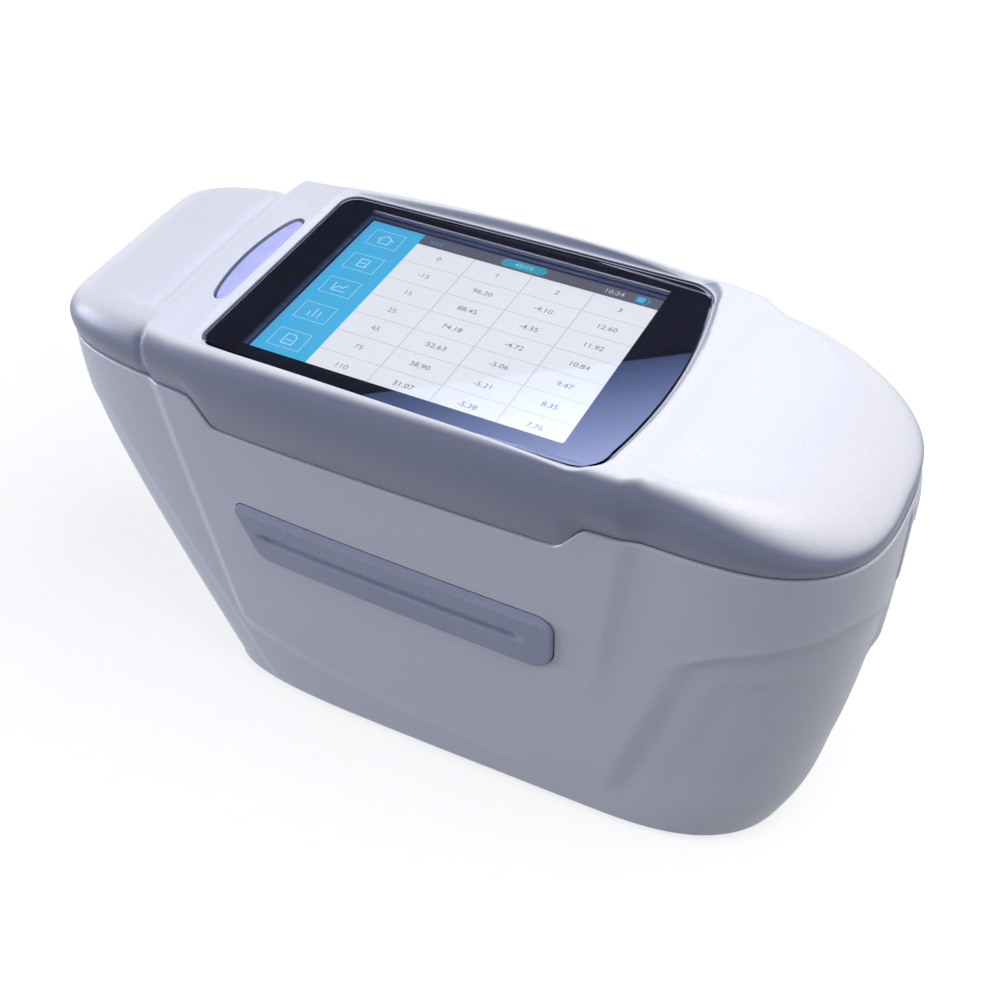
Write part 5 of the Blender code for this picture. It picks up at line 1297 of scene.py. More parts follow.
# %% Side buttons
BUTTON_TOPS = (0.052, 0.242, 0.431, 0.624, 0.818)
BUTTON_BOX = (0.036, 0.141, 0.112)
FRAME_BLUE = "#A6DDF3"
FRAME_STROKE = 0.0022
ICON_BLUE = "#BDE6F6"
ICON_STROKE = 0.0034
HOUSE = (
    (((0.25, 0.52), (0.5, 0.25), (0.75, 0.52)), False),
    (((0.34, 0.5), (0.34, 0.78), (0.66, 0.78), (0.66, 0.5)), False),
)
SHEET = (
    (((0.36, 0.26), (0.64, 0.26), (0.64, 0.74), (0.36, 0.74)), True),
    (((0.42, 0.5), (0.58, 0.5)), False),
)
CURVE = (
    (((0.3, 0.3), (0.3, 0.74), (0.72, 0.74)), False),
    (((0.36, 0.62), (0.48, 0.44), (0.58, 0.54), (0.7, 0.32)), False),
)
BARS = (
    (((0.34, 0.74), (0.34, 0.5)), False),
    (((0.5, 0.74), (0.5, 0.28)), False),
    (((0.66, 0.74), (0.66, 0.42)), False),
)
NOTE = (
    (((0.34, 0.22), (0.58, 0.22), (0.68, 0.36), (0.68, 0.78), (0.34, 0.78)), True),
    (((0.42, 0.56), (0.6, 0.56)), False),
)

for top, icon in zip(BUTTON_TOPS, (HOUSE, SHEET, CURVE, BARS, NOTE)):
    left, right, height = BUTTON_BOX
    frame_line = [(left, top), (right, top), (right, top + height), (left, top + height)]
    stroke(frame_line, FRAME_STROKE, FRAME_BLUE, 2, closed=True)
    for line, closed in icon:
        points = [(left + x * (right - left), top + y * height) for x, y in line]
        stroke(points, ICON_STROKE, ICON_BLUE, 2, closed)
print("with the buttons:", len(patches), "patches")

# %% [markdown]
# The numbers come from the font that is built into the program. Its outlines
# are turned to flat triangles, which join the other patches of the picture.

# %% Numbers in the picture
NUMBER_CURVE_STEPS = 3


def number_patches(text, x, y, height, colour, layer):
    """The built-in font's outline of a plain number, turned to flat triangles at its place in the picture."""
    curve = bpy.data.curves.new("number", "FONT")
    curve.body = text
    curve.size = height
    curve.align_x = "CENTER"
    curve.align_y = "CENTER"
    curve.resolution_u = NUMBER_CURVE_STEPS
    item = bpy.data.objects.new("number", curve)
    bpy.context.scene.collection.objects.link(item)
    bpy.context.view_layer.update()
    mesh = bpy.data.meshes.new_from_object(item.evaluated_get(bpy.context.evaluated_depsgraph_get()))
    bpy.data.objects.remove(item)
    mesh.calc_loop_triangles()
    points = np.zeros(len(mesh.vertices) * 3)
    mesh.vertices.foreach_get("co", points)
    points = points.reshape(-1, 3)[:, :2]
    corners = np.zeros(len(mesh.loop_triangles) * 3, np.int32)
    mesh.loop_triangles.foreach_get("vertices", corners)
    centre = to_picture([(x, y)])[0]
    for triangle in corners.reshape(-1, 3):
        patches.append((points[triangle] + centre, linear(colour), layer))


NUMBER_HEIGHT = 0.0021
TABLE_NUMBERS = (
    ("0", "1", "2", "3"),
    ("-15", "96.20", "-4.10", "12.60"),
    ("15", "88.45", "-4.35", "11.92"),
    ("25", "74.18", "-4.72", "10.84"),
    ("45", "52.63", "-5.06", "9.47"),
    ("75", "38.90", "-5.21", "8.35"),
    ("110", "31.07", "-5.38", "7.76"),
)
for row, cells in enumerate(TABLE_NUMBERS):
    middle = HEADER_SHARE + (row + 0.5) * row_height
    for left, right, text in zip(COLUMN_SHARES, COLUMN_SHARES[1:], cells):
        shade = "#6E6E76" if row == 0 or left > SIDEBAR_SHARE else "#8A8A92"
        number_patches(text, (left + right) / 2, middle, NUMBER_HEIGHT, shade, 3)
number_patches("10:24", 0.845, 0.036, NUMBER_HEIGHT, "#C8C8D0", 3)
number_patches("45/10", 0.543, 0.033, NUMBER_HEIGHT * 0.9, "#9ADCE8", 4)
print("with the numbers:", len(patches), "patches")

# %% [markdown]
# All patches become one mesh with a colour at each point, so that one lit
# material serves the whole picture. A film's thickness makes it a solid.

# %% Picture as one mesh


def picture_piece():
    """All patches in one mesh: points, faces and a colour at each point."""
    points = np.concatenate([np.column_stack([plan, np.full(len(plan), PICTURE_TOP + layer * PICTURE_LAYER)])
                             for plan, _, layer in patches])
    starts = np.concatenate([[0], np.cumsum([len(plan) for plan, _, _ in patches])])
    faces = [list(range(start, end)) for start, end in zip(starts, starts[1:])]
    colours = np.concatenate([np.tile(colour, (len(plan), 1)) for plan, colour, _ in patches])
    mesh = bpy.data.meshes.new("lit_picture")
    mesh.from_pydata(points.tolist(), [], faces)
    tint = mesh.color_attributes.new("picture_tint", "FLOAT_COLOR", "POINT")
    tint.data.foreach_set("color", colours.ravel())
    upside_down = np.array([polygon.normal.z < 0 for polygon in mesh.polygons])
    if upside_down.any():
        shape = bmesh.new()
        shape.from_mesh(mesh)
        bmesh.ops.reverse_faces(shape, faces=[face for face, wrong in zip(shape.faces, upside_down) if wrong])
        shape.to_mesh(mesh)
        shape.free()
    item = bpy.data.objects.new("lit_picture", mesh)
    bpy.context.scene.collection.objects.link(item)
    wall = item.modifiers.new("film", "SOLIDIFY")
    wall.thickness = PICTURE_LAYER / 2
    wall.offset = -1.0
    return item


lit_picture = picture_piece()
print("picture patches:", len(patches))

# %% [markdown]
# A finish is a small tree of nodes, read from left to right: a place on the
# piece, patterns over it, colours from the patterns, and the shader at the end.
# One function adds a node of any kind, sets it and links it. Every pattern
# reads the object's own coordinates, in metres, so its scale is one over a
# real length.

# %% Material helper


def add(tree, kind, inputs=None, **settings):
    """Adds a node and sets or links its inputs. A node given as an input stands for its first output."""
    made = tree.nodes.new(kind)
    for name, value in settings.items():
        setattr(made, name, value)
    for name, value in (inputs or {}).items():
        if isinstance(name, int):
            socket = made.inputs[name]
        else:
            socket = next(s for s in made.inputs if s.enabled and s.name == name)
        if isinstance(value, bpy.types.Node):
            value = next(s for s in value.outputs if s.enabled)
        if isinstance(value, bpy.types.NodeSocket):
            tree.links.new(value, socket)
        else:
            socket.default_value = value
    return made


def new_finish(name):
    """Empty material, with its tree and the object coordinates in it."""
    made = bpy.data.materials.new(name)
    made.use_nodes = True
    made.node_tree.nodes.clear()
    place = add(made.node_tree, "ShaderNodeTexCoord").outputs["Object"]
    return made, made.node_tree, place


def per(length):
    """Texture scale for a grain of this length in metres."""
    return 1.0 / length


SPREAD = {"From Min": 0.3, "From Max": 0.7}
print("most of a noise pattern lies from", SPREAD["From Min"], "to", SPREAD["From Max"])

# %% [markdown]
# The casing is ABS sprayed with a silver lacquer full of fine mica flakes. Its
# colour holds painted shade: faces that look up are painted almost white and
# steep faces blue-grey, by the mesh's own direction, for light from above.
# Sprayed lacquer dries to a faint orange peel, which breaks up its shine.
# Flakes are drawn about 0.2 mm wide, coarser than real ones, so that the fine
# sparkle shows in a picture.

# %% Silver lacquers
FLAKE_SIZE = 0.00022
FLAKE_SHADE = "#6A6F84"
FLAKE_SHADE_SHARE = 0.10
FLAKE_RELIEF_SHARE = 0.35
ORANGE_PEEL = 0.0016
PEEL_DEPTH = 0.00001
CLOUD_SIZE = 0.030
CLOUD_SHADE = "#9CA1B8"
CLOUD_SHADE_SHARE = 0.05
LACQUER_METALLIC = 0.12
LACQUER_COAT = 0.12
LACQUER_COAT_ROUGHNESS = 0.32


def silver_lacquer_painted_shade(name, top, side, low, high, roughness):
    """Painted shade by how far a face looks up, then dimmer flakes, faint clouds and the orange peel's
    height.
    """
    made, tree, place = new_finish(name)
    normal = add(tree, "ShaderNodeNewGeometry").outputs["Normal"]
    facing_for_painted_shade = add(tree, "ShaderNodeSeparateXYZ", {"Vector": normal}).outputs["Z"]
    # Painted shade: the top colour on faces that look up, the darker side colour on steep ones.
    lift = add(tree, "ShaderNodeMapRange", {"Value": facing_for_painted_shade, "From Min": low, "From Max": high},
               interpolation_type="SMOOTHSTEP")
    base = add(tree, "ShaderNodeMix", {"Factor": lift, "A": linear(side), "B": linear(top)}, data_type="RGBA")
    flakes = add(tree, "ShaderNodeTexVoronoi", {"Vector": place, "Scale": per(FLAKE_SIZE)})
    spark = add(tree, "ShaderNodeSeparateColor", {"Color": flakes.outputs["Color"]}).outputs["Red"]
    dimmed = add(tree, "ShaderNodeMapRange", {"Value": spark, "To Max": FLAKE_SHADE_SHARE})
    flecked = add(tree, "ShaderNodeMix", {"Factor": dimmed, "A": base, "B": linear(FLAKE_SHADE)},
                  data_type="RGBA")
    clouds = add(tree, "ShaderNodeTexNoise", {"Vector": place, "Scale": per(CLOUD_SIZE)})
    haze = add(tree, "ShaderNodeMapRange", {"Value": clouds, "From Min": 0.35, "From Max": 0.65,
                                            "To Max": CLOUD_SHADE_SHARE})
    tinted = add(tree, "ShaderNodeMix", {"Factor": haze, "A": flecked, "B": linear(CLOUD_SHADE)},
                 data_type="RGBA")
    gloss = add(tree, "ShaderNodeMapRange", {"Value": spark, "To Min": roughness - 0.05,
                                             "To Max": roughness + 0.07})
    lumps = add(tree, "ShaderNodeMapRange", {"Value": spark, "To Max": FLAKE_RELIEF_SHARE})
    peel = add(tree, "ShaderNodeTexNoise", {"Vector": place, "Scale": per(ORANGE_PEEL)})
    height = add(tree, "ShaderNodeMath", {0: lumps, 1: peel}, operation="ADD")
    relief = add(tree, "ShaderNodeBump", {"Height": height, "Distance": PEEL_DEPTH, "Strength": 0.5})
    shader = add(tree, "ShaderNodeBsdfPrincipled", {
        "Base Color": tinted, "Roughness": gloss, "Metallic": LACQUER_METALLIC, "Normal": relief,
        "Coat Weight": LACQUER_COAT, "Coat Roughness": LACQUER_COAT_ROUGHNESS})
    add(tree, "ShaderNodeOutputMaterial", {"Surface": shader})
    return made


# Both lacquers carry painted shade: the pearl cover from near white to blue-grey, the satin body only a
# little.
pearl_silver = silver_lacquer_painted_shade("pearl_silver_lacquer_painted_shade", "#F1F1F6", "#71778E", 0.42, 0.90, 0.38)
satin_silver = silver_lacquer_painted_shade("satin_silver_lacquer_painted_shade", "#D2D5DF", "#BEC1CD", 0.00, 0.90, 0.42)
print("lacquer flakes:", FLAKE_SIZE * 1000, "mm wide")

# %% [markdown]
# The grips and the feet are thermoplastic rubber with a fine moulded grain.
# Rubber scatters light, so it looks dull and soft, and fingers leave some
# patches slightly smoother.

# %% Rubbers
GRIP_GRAIN = 0.00035
FOOT_GRAIN = 0.0005
WEAR_SIZE = 0.012


def soft_rubber(name, colour, dark, grain_size, roughness):
    """A fine noise gives the grain's colour and height, and a wide one the worn, smoother patches."""
    made, tree, place = new_finish(name)
    fine = add(tree, "ShaderNodeTexNoise", {"Vector": place, "Scale": per(grain_size), "Detail": 3.0})
    grain = add(tree, "ShaderNodeMapRange", {"Value": fine, **SPREAD})
    base = add(tree, "ShaderNodeMix", {"Factor": grain, "A": linear(dark), "B": linear(colour)},
               data_type="RGBA")
    wear = add(tree, "ShaderNodeTexNoise", {"Vector": place, "Scale": per(WEAR_SIZE)})
    gloss = add(tree, "ShaderNodeMapRange", {"Value": wear, **SPREAD,
                                             "To Min": roughness - 0.10, "To Max": roughness + 0.06})
    relief = add(tree, "ShaderNodeBump", {"Height": fine, "Distance": 0.00003, "Strength": 0.6})
    shader = add(tree, "ShaderNodeBsdfPrincipled", {"Base Color": base, "Roughness": gloss, "Normal": relief})
    add(tree, "ShaderNodeOutputMaterial", {"Surface": shader})
    return made


grip_rubber = soft_rubber("grey_blue_soft_rubber", "#9DA2B8", "#8D92A8", GRIP_GRAIN, 0.50)
foot_rubber = soft_rubber("black_foot_rubber", "#26262A", "#161619", FOOT_GRAIN, 0.75)
print("grip grain:", GRIP_GRAIN * 1000, "mm")

# %% [markdown]
# The measuring key is clouded acrylic with a painted glow in its own colour,
# so the cloud is in its glow as well as in its colour. The hidden
# cases are ABS from a spark-eroded mould, whose even pebble makes black
# plastic look dry rather than wet.

# %% Key and black plastics
KEY_CLOUD = 0.0035
KEY_SATIN = 0.0003
KEY_PAINTED_GLOW = 0.12
PEBBLE_SIZE = 0.00035


def lit_key():
    """Clouded acrylic: one noise colours it and its painted glow, and a much finer one is its satin face."""
    made, tree, place = new_finish("clouded_lavender_acrylic")
    cloud = add(tree, "ShaderNodeTexNoise", {"Vector": place, "Scale": per(KEY_CLOUD)})
    milk = add(tree, "ShaderNodeMapRange", {"Value": cloud, **SPREAD})
    base = add(tree, "ShaderNodeMix", {"Factor": milk, "A": linear("#AEB2EC"), "B": linear("#BCC0F4")},
               data_type="RGBA")
    satin = add(tree, "ShaderNodeTexNoise", {"Vector": place, "Scale": per(KEY_SATIN)})
    relief = add(tree, "ShaderNodeBump", {"Height": satin, "Distance": 0.000004, "Strength": 0.4})
    # Painted glow: the key gives off a weak light in its own colour.
    shader = add(tree, "ShaderNodeBsdfPrincipled", {
        "Base Color": base, "Roughness": 0.30, "Coat Weight": 0.3, "Normal": relief,
        "Emission Color": base, "Emission Strength": KEY_PAINTED_GLOW})
    add(tree, "ShaderNodeOutputMaterial", {"Surface": shader})
    return made


def moulded_plastic_with_painted_highlight(name, colour, light, roughness):
    """Spark-eroded ABS: the distance inside each cell is the pebble; each cell's middle is painted lighter, a
    painted highlight, and is slightly polished.
    """
    made, tree, place = new_finish(name)
    cells = add(tree, "ShaderNodeTexVoronoi", {"Vector": place, "Scale": per(PEBBLE_SIZE)})
    pebble = cells.outputs["Distance"]
    depth = add(tree, "ShaderNodeMapRange", {"Value": pebble, "To Max": 0.5})
    # Painted highlight: the colour is lighter at each cell's middle.
    base = add(tree, "ShaderNodeMix", {"Factor": depth, "A": linear(light), "B": linear(colour)},
               data_type="RGBA")
    gloss = add(tree, "ShaderNodeMapRange", {"Value": pebble, "To Min": roughness - 0.08,
                                             "To Max": roughness + 0.08})
    relief = add(tree, "ShaderNodeBump", {"Height": pebble, "Distance": 0.00002, "Strength": 0.4})
    shader = add(tree, "ShaderNodeBsdfPrincipled", {"Base Color": base, "Roughness": gloss, "Normal": relief})
    add(tree, "ShaderNodeOutputMaterial", {"Surface": shader})
    return made


lavender_key = lit_key()
black_plastic = moulded_plastic_with_painted_highlight("black_abs", "#1B1B20", "#2A2A31", 0.48)
black_foam = moulded_plastic_with_painted_highlight("black_foam_tape", "#101013", "#1A1A1F", 0.8)
print("plastic pebble:", PEBBLE_SIZE * 1000, "mm")

# %% [markdown]
# Plain metal parts are stamped or turned steel with a bright nickel plating,
# and the optics stand on a black-anodised aluminium arch whose dull, even
# black keeps stray light away. Fine lines from the tool stretch the shine of
# both along one direction.

# %% Metals
TOOL_STRETCH = (0.08, 1.0, 1.0)
STAIN_SIZE = 0.009
STAIN_SHARE = 0.25


def tooled_metal(name, light, dark, roughness, metallic, line):
    """Noise stretched along X is the tool's lines, and a wide noise adds faint stains."""
    made, tree, place = new_finish(name)
    stretched = add(tree, "ShaderNodeMapping", {"Vector": place, "Scale": TOOL_STRETCH})
    lines = add(tree, "ShaderNodeTexNoise", {"Vector": stretched, "Scale": per(line), "Detail": 3.0})
    streaks = add(tree, "ShaderNodeMapRange", {"Value": lines, **SPREAD})
    base = add(tree, "ShaderNodeMix", {"Factor": streaks, "A": linear(dark), "B": linear(light)},
               data_type="RGBA")
    stain = add(tree, "ShaderNodeTexNoise", {"Vector": place, "Scale": per(STAIN_SIZE)})
    faint = add(tree, "ShaderNodeMapRange", {"Value": stain, "From Min": 0.4, "From Max": 0.7,
                                             "To Max": STAIN_SHARE})
    aged = add(tree, "ShaderNodeMix", {"Factor": faint, "A": base, "B": linear(dark)}, data_type="RGBA")
    gloss = add(tree, "ShaderNodeMapRange", {"Value": lines, "To Min": roughness - 0.08,
                                             "To Max": roughness + 0.12})
    relief = add(tree, "ShaderNodeBump", {"Height": lines, "Distance": 0.000008, "Strength": 0.4})
    shader = add(tree, "ShaderNodeBsdfPrincipled", {"Base Color": aged, "Roughness": gloss,
                                                    "Metallic": metallic, "Normal": relief})
    add(tree, "ShaderNodeOutputMaterial", {"Surface": shader})
    return made


plated_steel = tooled_metal("nickel_plated_steel", "#C9CACC", "#9A9CA2", 0.28, 1.0, 0.0003)
black_alloy = tooled_metal("black_anodised_aluminium", "#2C2D31", "#1B1C20", 0.42, 0.8, 0.0004)
display_metal = tooled_metal("display_frame_steel", "#5A6284", "#414866", 0.35, 0.3, 0.0006)
print("metals:", plated_steel.name, black_alloy.name, display_metal.name)

# %% [markdown]
# Circuit boards are glass fibre under green solder resist, a slick coat that
# shows the copper tracks as lighter lines. The battery has a blue shrink
# sleeve, slick too and a little wrinkled where it was heated.

# %% Boards and battery sleeve
TRACK_WIDTH = 0.00025
TRACK_LENGTH = 0.006
TRACK_SPACING = 0.0016
WRINKLE_SIZE = 0.006


def solder_resist():
    """The joints of a brick pattern are the tracks, drawn wider than most real ones so that they show."""
    made, tree, place = new_finish("green_solder_resist")
    tracks = add(tree, "ShaderNodeTexBrick", {
        "Vector": place, "Scale": 1.0, "Mortar Size": TRACK_WIDTH, "Brick Width": TRACK_LENGTH,
        "Row Height": TRACK_SPACING, "Color1": linear("#0E5A36"), "Color2": linear("#0B4E2E"),
        "Mortar": linear("#2F8A5A")})
    relief = add(tree, "ShaderNodeBump", {"Height": tracks.outputs["Fac"], "Distance": 0.00003,
                                            "Strength": 0.5})
    shader = add(tree, "ShaderNodeBsdfPrincipled", {"Base Color": tracks.outputs["Color"], "Roughness": 0.35,
                                                    "Coat Weight": 0.4, "Normal": relief})
    add(tree, "ShaderNodeOutputMaterial", {"Surface": shader})
    return made


def shrink_sleeve():
    """One noise is the wrinkles, in height and in a slight change of blue."""
    made, tree, place = new_finish("blue_shrink_sleeve")
    wrinkles = add(tree, "ShaderNodeTexNoise", {"Vector": place, "Scale": per(WRINKLE_SIZE)})
    base = add(tree, "ShaderNodeMix", {"Factor": wrinkles, "A": linear("#1D4FA0"), "B": linear("#2A66C0")},
               data_type="RGBA")
    relief = add(tree, "ShaderNodeBump", {"Height": wrinkles, "Distance": 0.0002, "Strength": 0.4})
    shader = add(tree, "ShaderNodeBsdfPrincipled", {"Base Color": base, "Roughness": 0.30, "Coat Weight": 0.5,
                                                    "Normal": relief})
    add(tree, "ShaderNodeOutputMaterial", {"Surface": shader})
    return made


circuit_board = solder_resist()
battery_wrap = shrink_sleeve()
print("tracks every", TRACK_SPACING * 1000, "mm")

# %% [markdown]
# The touch glass is polished float glass, clear and mirror-smooth, with a trace
# of smears. Its border is ceramic ink fired onto the underside: seen through
# the glass it has depth and no shine of its own.

# %% Glass and ink
SMEAR_SIZE = 0.018
SMEAR_ROUGHNESS = 0.004
INK_GRAIN = 0.004


def clear_glass(name, tint, roughness):
    """Float glass, a little rougher at smears. Shadow rays pass, so that what lies under it is lit."""
    made, tree, place = new_finish(name)
    smear = add(tree, "ShaderNodeTexNoise", {"Vector": place, "Scale": per(SMEAR_SIZE)})
    gloss = add(tree, "ShaderNodeMapRange", {"Value": smear, "From Min": 0.5, "From Max": 0.8,
                                             "To Min": roughness, "To Max": roughness + SMEAR_ROUGHNESS})
    shader = add(tree, "ShaderNodeBsdfPrincipled", {"Base Color": linear(tint), "Roughness": gloss,
                                                    "IOR": 1.50, "Transmission Weight": 1.0})
    clear = add(tree, "ShaderNodeBsdfTransparent", {"Color": linear(tint)})
    shadow = add(tree, "ShaderNodeLightPath").outputs["Is Shadow Ray"]
    passing = add(tree, "ShaderNodeMixShader", {0: shadow, 1: shader, 2: clear})
    add(tree, "ShaderNodeOutputMaterial", {"Surface": passing})
    return made


def printed_ink():
    """Indigo-black ceramic ink, whose colour varies a trace with a noise."""
    made, tree, place = new_finish("indigo_black_ink")
    uneven = add(tree, "ShaderNodeTexNoise", {"Vector": place, "Scale": per(INK_GRAIN)})
    patchy = add(tree, "ShaderNodeMapRange", {"Value": uneven, **SPREAD})
    base = add(tree, "ShaderNodeMix", {"Factor": patchy, "A": linear("#100F17"), "B": linear("#15141E")},
               data_type="RGBA")
    shader = add(tree, "ShaderNodeBsdfPrincipled", {"Base Color": base, "Roughness": 0.60,
                                                    "Specular IOR Level": 0.08})
    add(tree, "ShaderNodeOutputMaterial", {"Surface": shader})
    return made


lens_glass = clear_glass("lens_glass", "#F4F6FA", 0.02)
display_glass = clear_glass("cover_glass", "#F2F4FA", 0.0)
border_ink = printed_ink()
print("glasses:", lens_glass.name, display_glass.name)

# %% [markdown]
# A backlit picture gives off its own colours, so it keeps them in any light.
# Close up it shows a faint grid of pixels, and its backlight isn't quite even.

# %% Backlit picture
PIXEL_PITCH = 0.00022
PIXEL_GAP_SHARE = 0.08
BACKLIGHT_SIZE = 0.03
BACKLIGHT_DIM_SHARE = 0.06
DARK_SCREEN_SHARE = 0.85


def lit_display():
    """Glow: the patch's own colour, slightly dimmed by a wide noise and by the joints of a square grid."""
    made, tree, place = new_finish("backlit_display")
    colour = add(tree, "ShaderNodeAttribute", attribute_name="picture_tint").outputs["Color"]
    grid = add(tree, "ShaderNodeTexBrick", {
        "Vector": place, "Scale": 1.0, "Mortar Size": PIXEL_PITCH * PIXEL_GAP_SHARE,
        "Brick Width": PIXEL_PITCH, "Row Height": PIXEL_PITCH, "Color1": (1, 1, 1, 1), "Color2": (1, 1, 1, 1),
        "Mortar": (0.88, 0.88, 0.9, 1)}, offset=0.0)
    backlight = add(tree, "ShaderNodeTexNoise", {"Vector": place, "Scale": per(BACKLIGHT_SIZE)})
    dim = add(tree, "ShaderNodeMapRange", {"Value": backlight, "To Max": BACKLIGHT_DIM_SHARE})
    uneven = add(tree, "ShaderNodeMix", {"Factor": dim, "A": colour, "B": linear("#9AA0B8")},
                 data_type="RGBA")
    shown = add(tree, "ShaderNodeVectorMath", {0: uneven, 1: grid.outputs["Color"]}, operation="MULTIPLY")
    dark = add(tree, "ShaderNodeMix", {"Factor": DARK_SCREEN_SHARE, "A": colour, "B": linear("#08080A")},
               data_type="RGBA")
    shader = add(tree, "ShaderNodeBsdfPrincipled", {"Base Color": dark, "Roughness": 0.5,
                                                    "Emission Color": shown.outputs["Vector"],
                                                    "Emission Strength": 1.0})
    add(tree, "ShaderNodeOutputMaterial", {"Surface": shader})
    return made


picture_light = lit_display()
print("materials:", len(bpy.data.materials))

# %% [markdown]
# Each row names a piece, the body that it moves with, the slot it takes its
# finish from, its finish and the solids that it stands for. Each piece gets
# its finish and its body, and those solids are hidden.

# %% Pieces on their bodies
SKINS = (
    (cover_skin, "casing", "pearl_silver", pearl_silver, ("top_cover",)),
    (lower_skin, "casing", "satin_silver", satin_silver, ("lower_housing",)),
    (grip_pads["near"], "casing", "grip_rubber", grip_rubber, ("side_grip_near",)),
    (grip_pads["far"], "casing", "grip_rubber", grip_rubber, ("side_grip_far",)),
    (glass_panel, "casing", "display_glass", display_glass, ("touch_glass",)),
    (printed_border, "casing", "display_glass", border_ink, ()),
    (lit_picture, "casing", "display_face", picture_light, ()),
    (key_cap, "key", "lit_key", lavender_key, ("measure_button",)),
    (flap_skin, "flap", "satin_silver", satin_silver, ("port_flap",)),
    (rocker_skin, "rocker", "black_plastic", black_plastic, ("power_rocker",)),
)
for piece, body, slot, look, stands_for in SKINS:
    piece.data.materials.clear()
    piece.data.materials.append(look)
    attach(piece, body)
    if stands_for:
        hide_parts(*stands_for)

NODE_LOOKS = (
    (("display_module",), display_metal),
    (("glass_glue_frame",), black_foam),
    (("measure_switch", "switch_plunger", "rocker_case", "charge_socket", "receiver_tube", "lamp_tube",
      "base_plate"), black_plastic),
    (("optics_arch", "receiver_sensor", "chassis_plate", "aperture_ring"), black_alloy),
    (("display_bracket", "board_standoff", "chassis_pillar", "battery_clamp", "base_screw", "usb_socket",
      "strap_bar"), plated_steel),
    (("main_board", "port_board", "lamp_board"), circuit_board),
    (("lamp_lens",), lens_glass),
    (("battery_pack",), battery_wrap),
    (("base_foot",), foot_rubber),
    (("strap_cup",), satin_silver),
)
dressed = set()
for starts, look in NODE_LOOKS:
    for name, item in nodes.items():
        if name.startswith(starts):
            item.data.materials.clear()
            item.data.materials.append(look)
            dressed.add(name)
replaced = {name for _, _, _, _, names in SKINS for name in names}
print("solids without a finish:", sorted(set(nodes) - dressed - replaced))

# %% [markdown]
# The studio is a white table without an end. Whatever looks at it, straight or
# by mirror or through glass, sees it near white, brighter with distance, while
# its paper is a mid grey so that it throws little light up at the object and
# still takes its shadow.

# %% Table top
FLOOR_SIZE = 6.0
FLOOR_GLOW = 0.78
FLOOR_NEAR = 0.15
FLOOR_FAR = 0.80
PAPER_GRAIN = 0.004


def table_top():
    """Flat square: a grey diffuse paper plus a white glow for camera, mirror and transmitted rays."""
    mesh = bpy.data.meshes.new("table_top")
    half = FLOOR_SIZE / 2
    corners = [(-half, -half, 0), (half, -half, 0), (half, half, 0), (-half, half, 0)]
    mesh.from_pydata(corners, [], [(0, 1, 2, 3)])
    item = bpy.data.objects.new("table_top", mesh)
    bpy.context.scene.collection.objects.link(item)
    made, tree, place = new_finish("white_table_paper")
    fibre = add(tree, "ShaderNodeTexNoise", {"Vector": place, "Scale": per(PAPER_GRAIN)})
    grain = add(tree, "ShaderNodeMapRange", {"Value": fibre, **SPREAD})
    paper = add(tree, "ShaderNodeMix", {"Factor": grain, "A": linear("#8E8E90"), "B": linear("#929294")},
                data_type="RGBA")
    shade = add(tree, "ShaderNodeBsdfDiffuse", {"Color": paper})
    rays = add(tree, "ShaderNodeLightPath").outputs
    seen = add(tree, "ShaderNodeMath", {0: rays["Is Camera Ray"], 1: rays["Is Transmission Ray"]},
               operation="ADD")
    looked_at = add(tree, "ShaderNodeMath", {0: seen, 1: rays["Is Glossy Ray"]}, operation="ADD",
                    use_clamp=True)
    away = add(tree, "ShaderNodeVectorMath", {0: place}, operation="LENGTH").outputs["Value"]
    level = add(tree, "ShaderNodeMapRange", {"Value": away, "From Min": FLOOR_NEAR, "From Max": FLOOR_FAR,
                                             "To Min": FLOOR_GLOW, "To Max": 1.0})
    strength = add(tree, "ShaderNodeMath", {0: looked_at, 1: level}, operation="MULTIPLY")
    glow = add(tree, "ShaderNodeEmission", {"Color": (1, 1, 1, 1), "Strength": strength})
    total = add(tree, "ShaderNodeAddShader", {0: shade, 1: glow})
    add(tree, "ShaderNodeOutputMaterial", {"Surface": total})
    mesh.materials.append(made)


table_top()
print("table:", FLOOR_SIZE, "metres square")

# %% [markdown]
# The world is white for the camera, pale at the horizon and dark overhead for
# mirrors, and a soft blue-grey light, stronger from the left, for all else.
# One large soft lamp above the port end models the top, and a wide fill from
# the left lights the side. The overhead lamp is left out of mirrors, because
# the lacquer would show it as a hot spot that the real one doesn't have.

# %% World and lamps
LIT_SIDE = (-0.90, 0.10, 0.0)
HORIZON_RISE = 0.10
OVERHEAD_RISE = 0.50
SIDE_FADE = 0.8


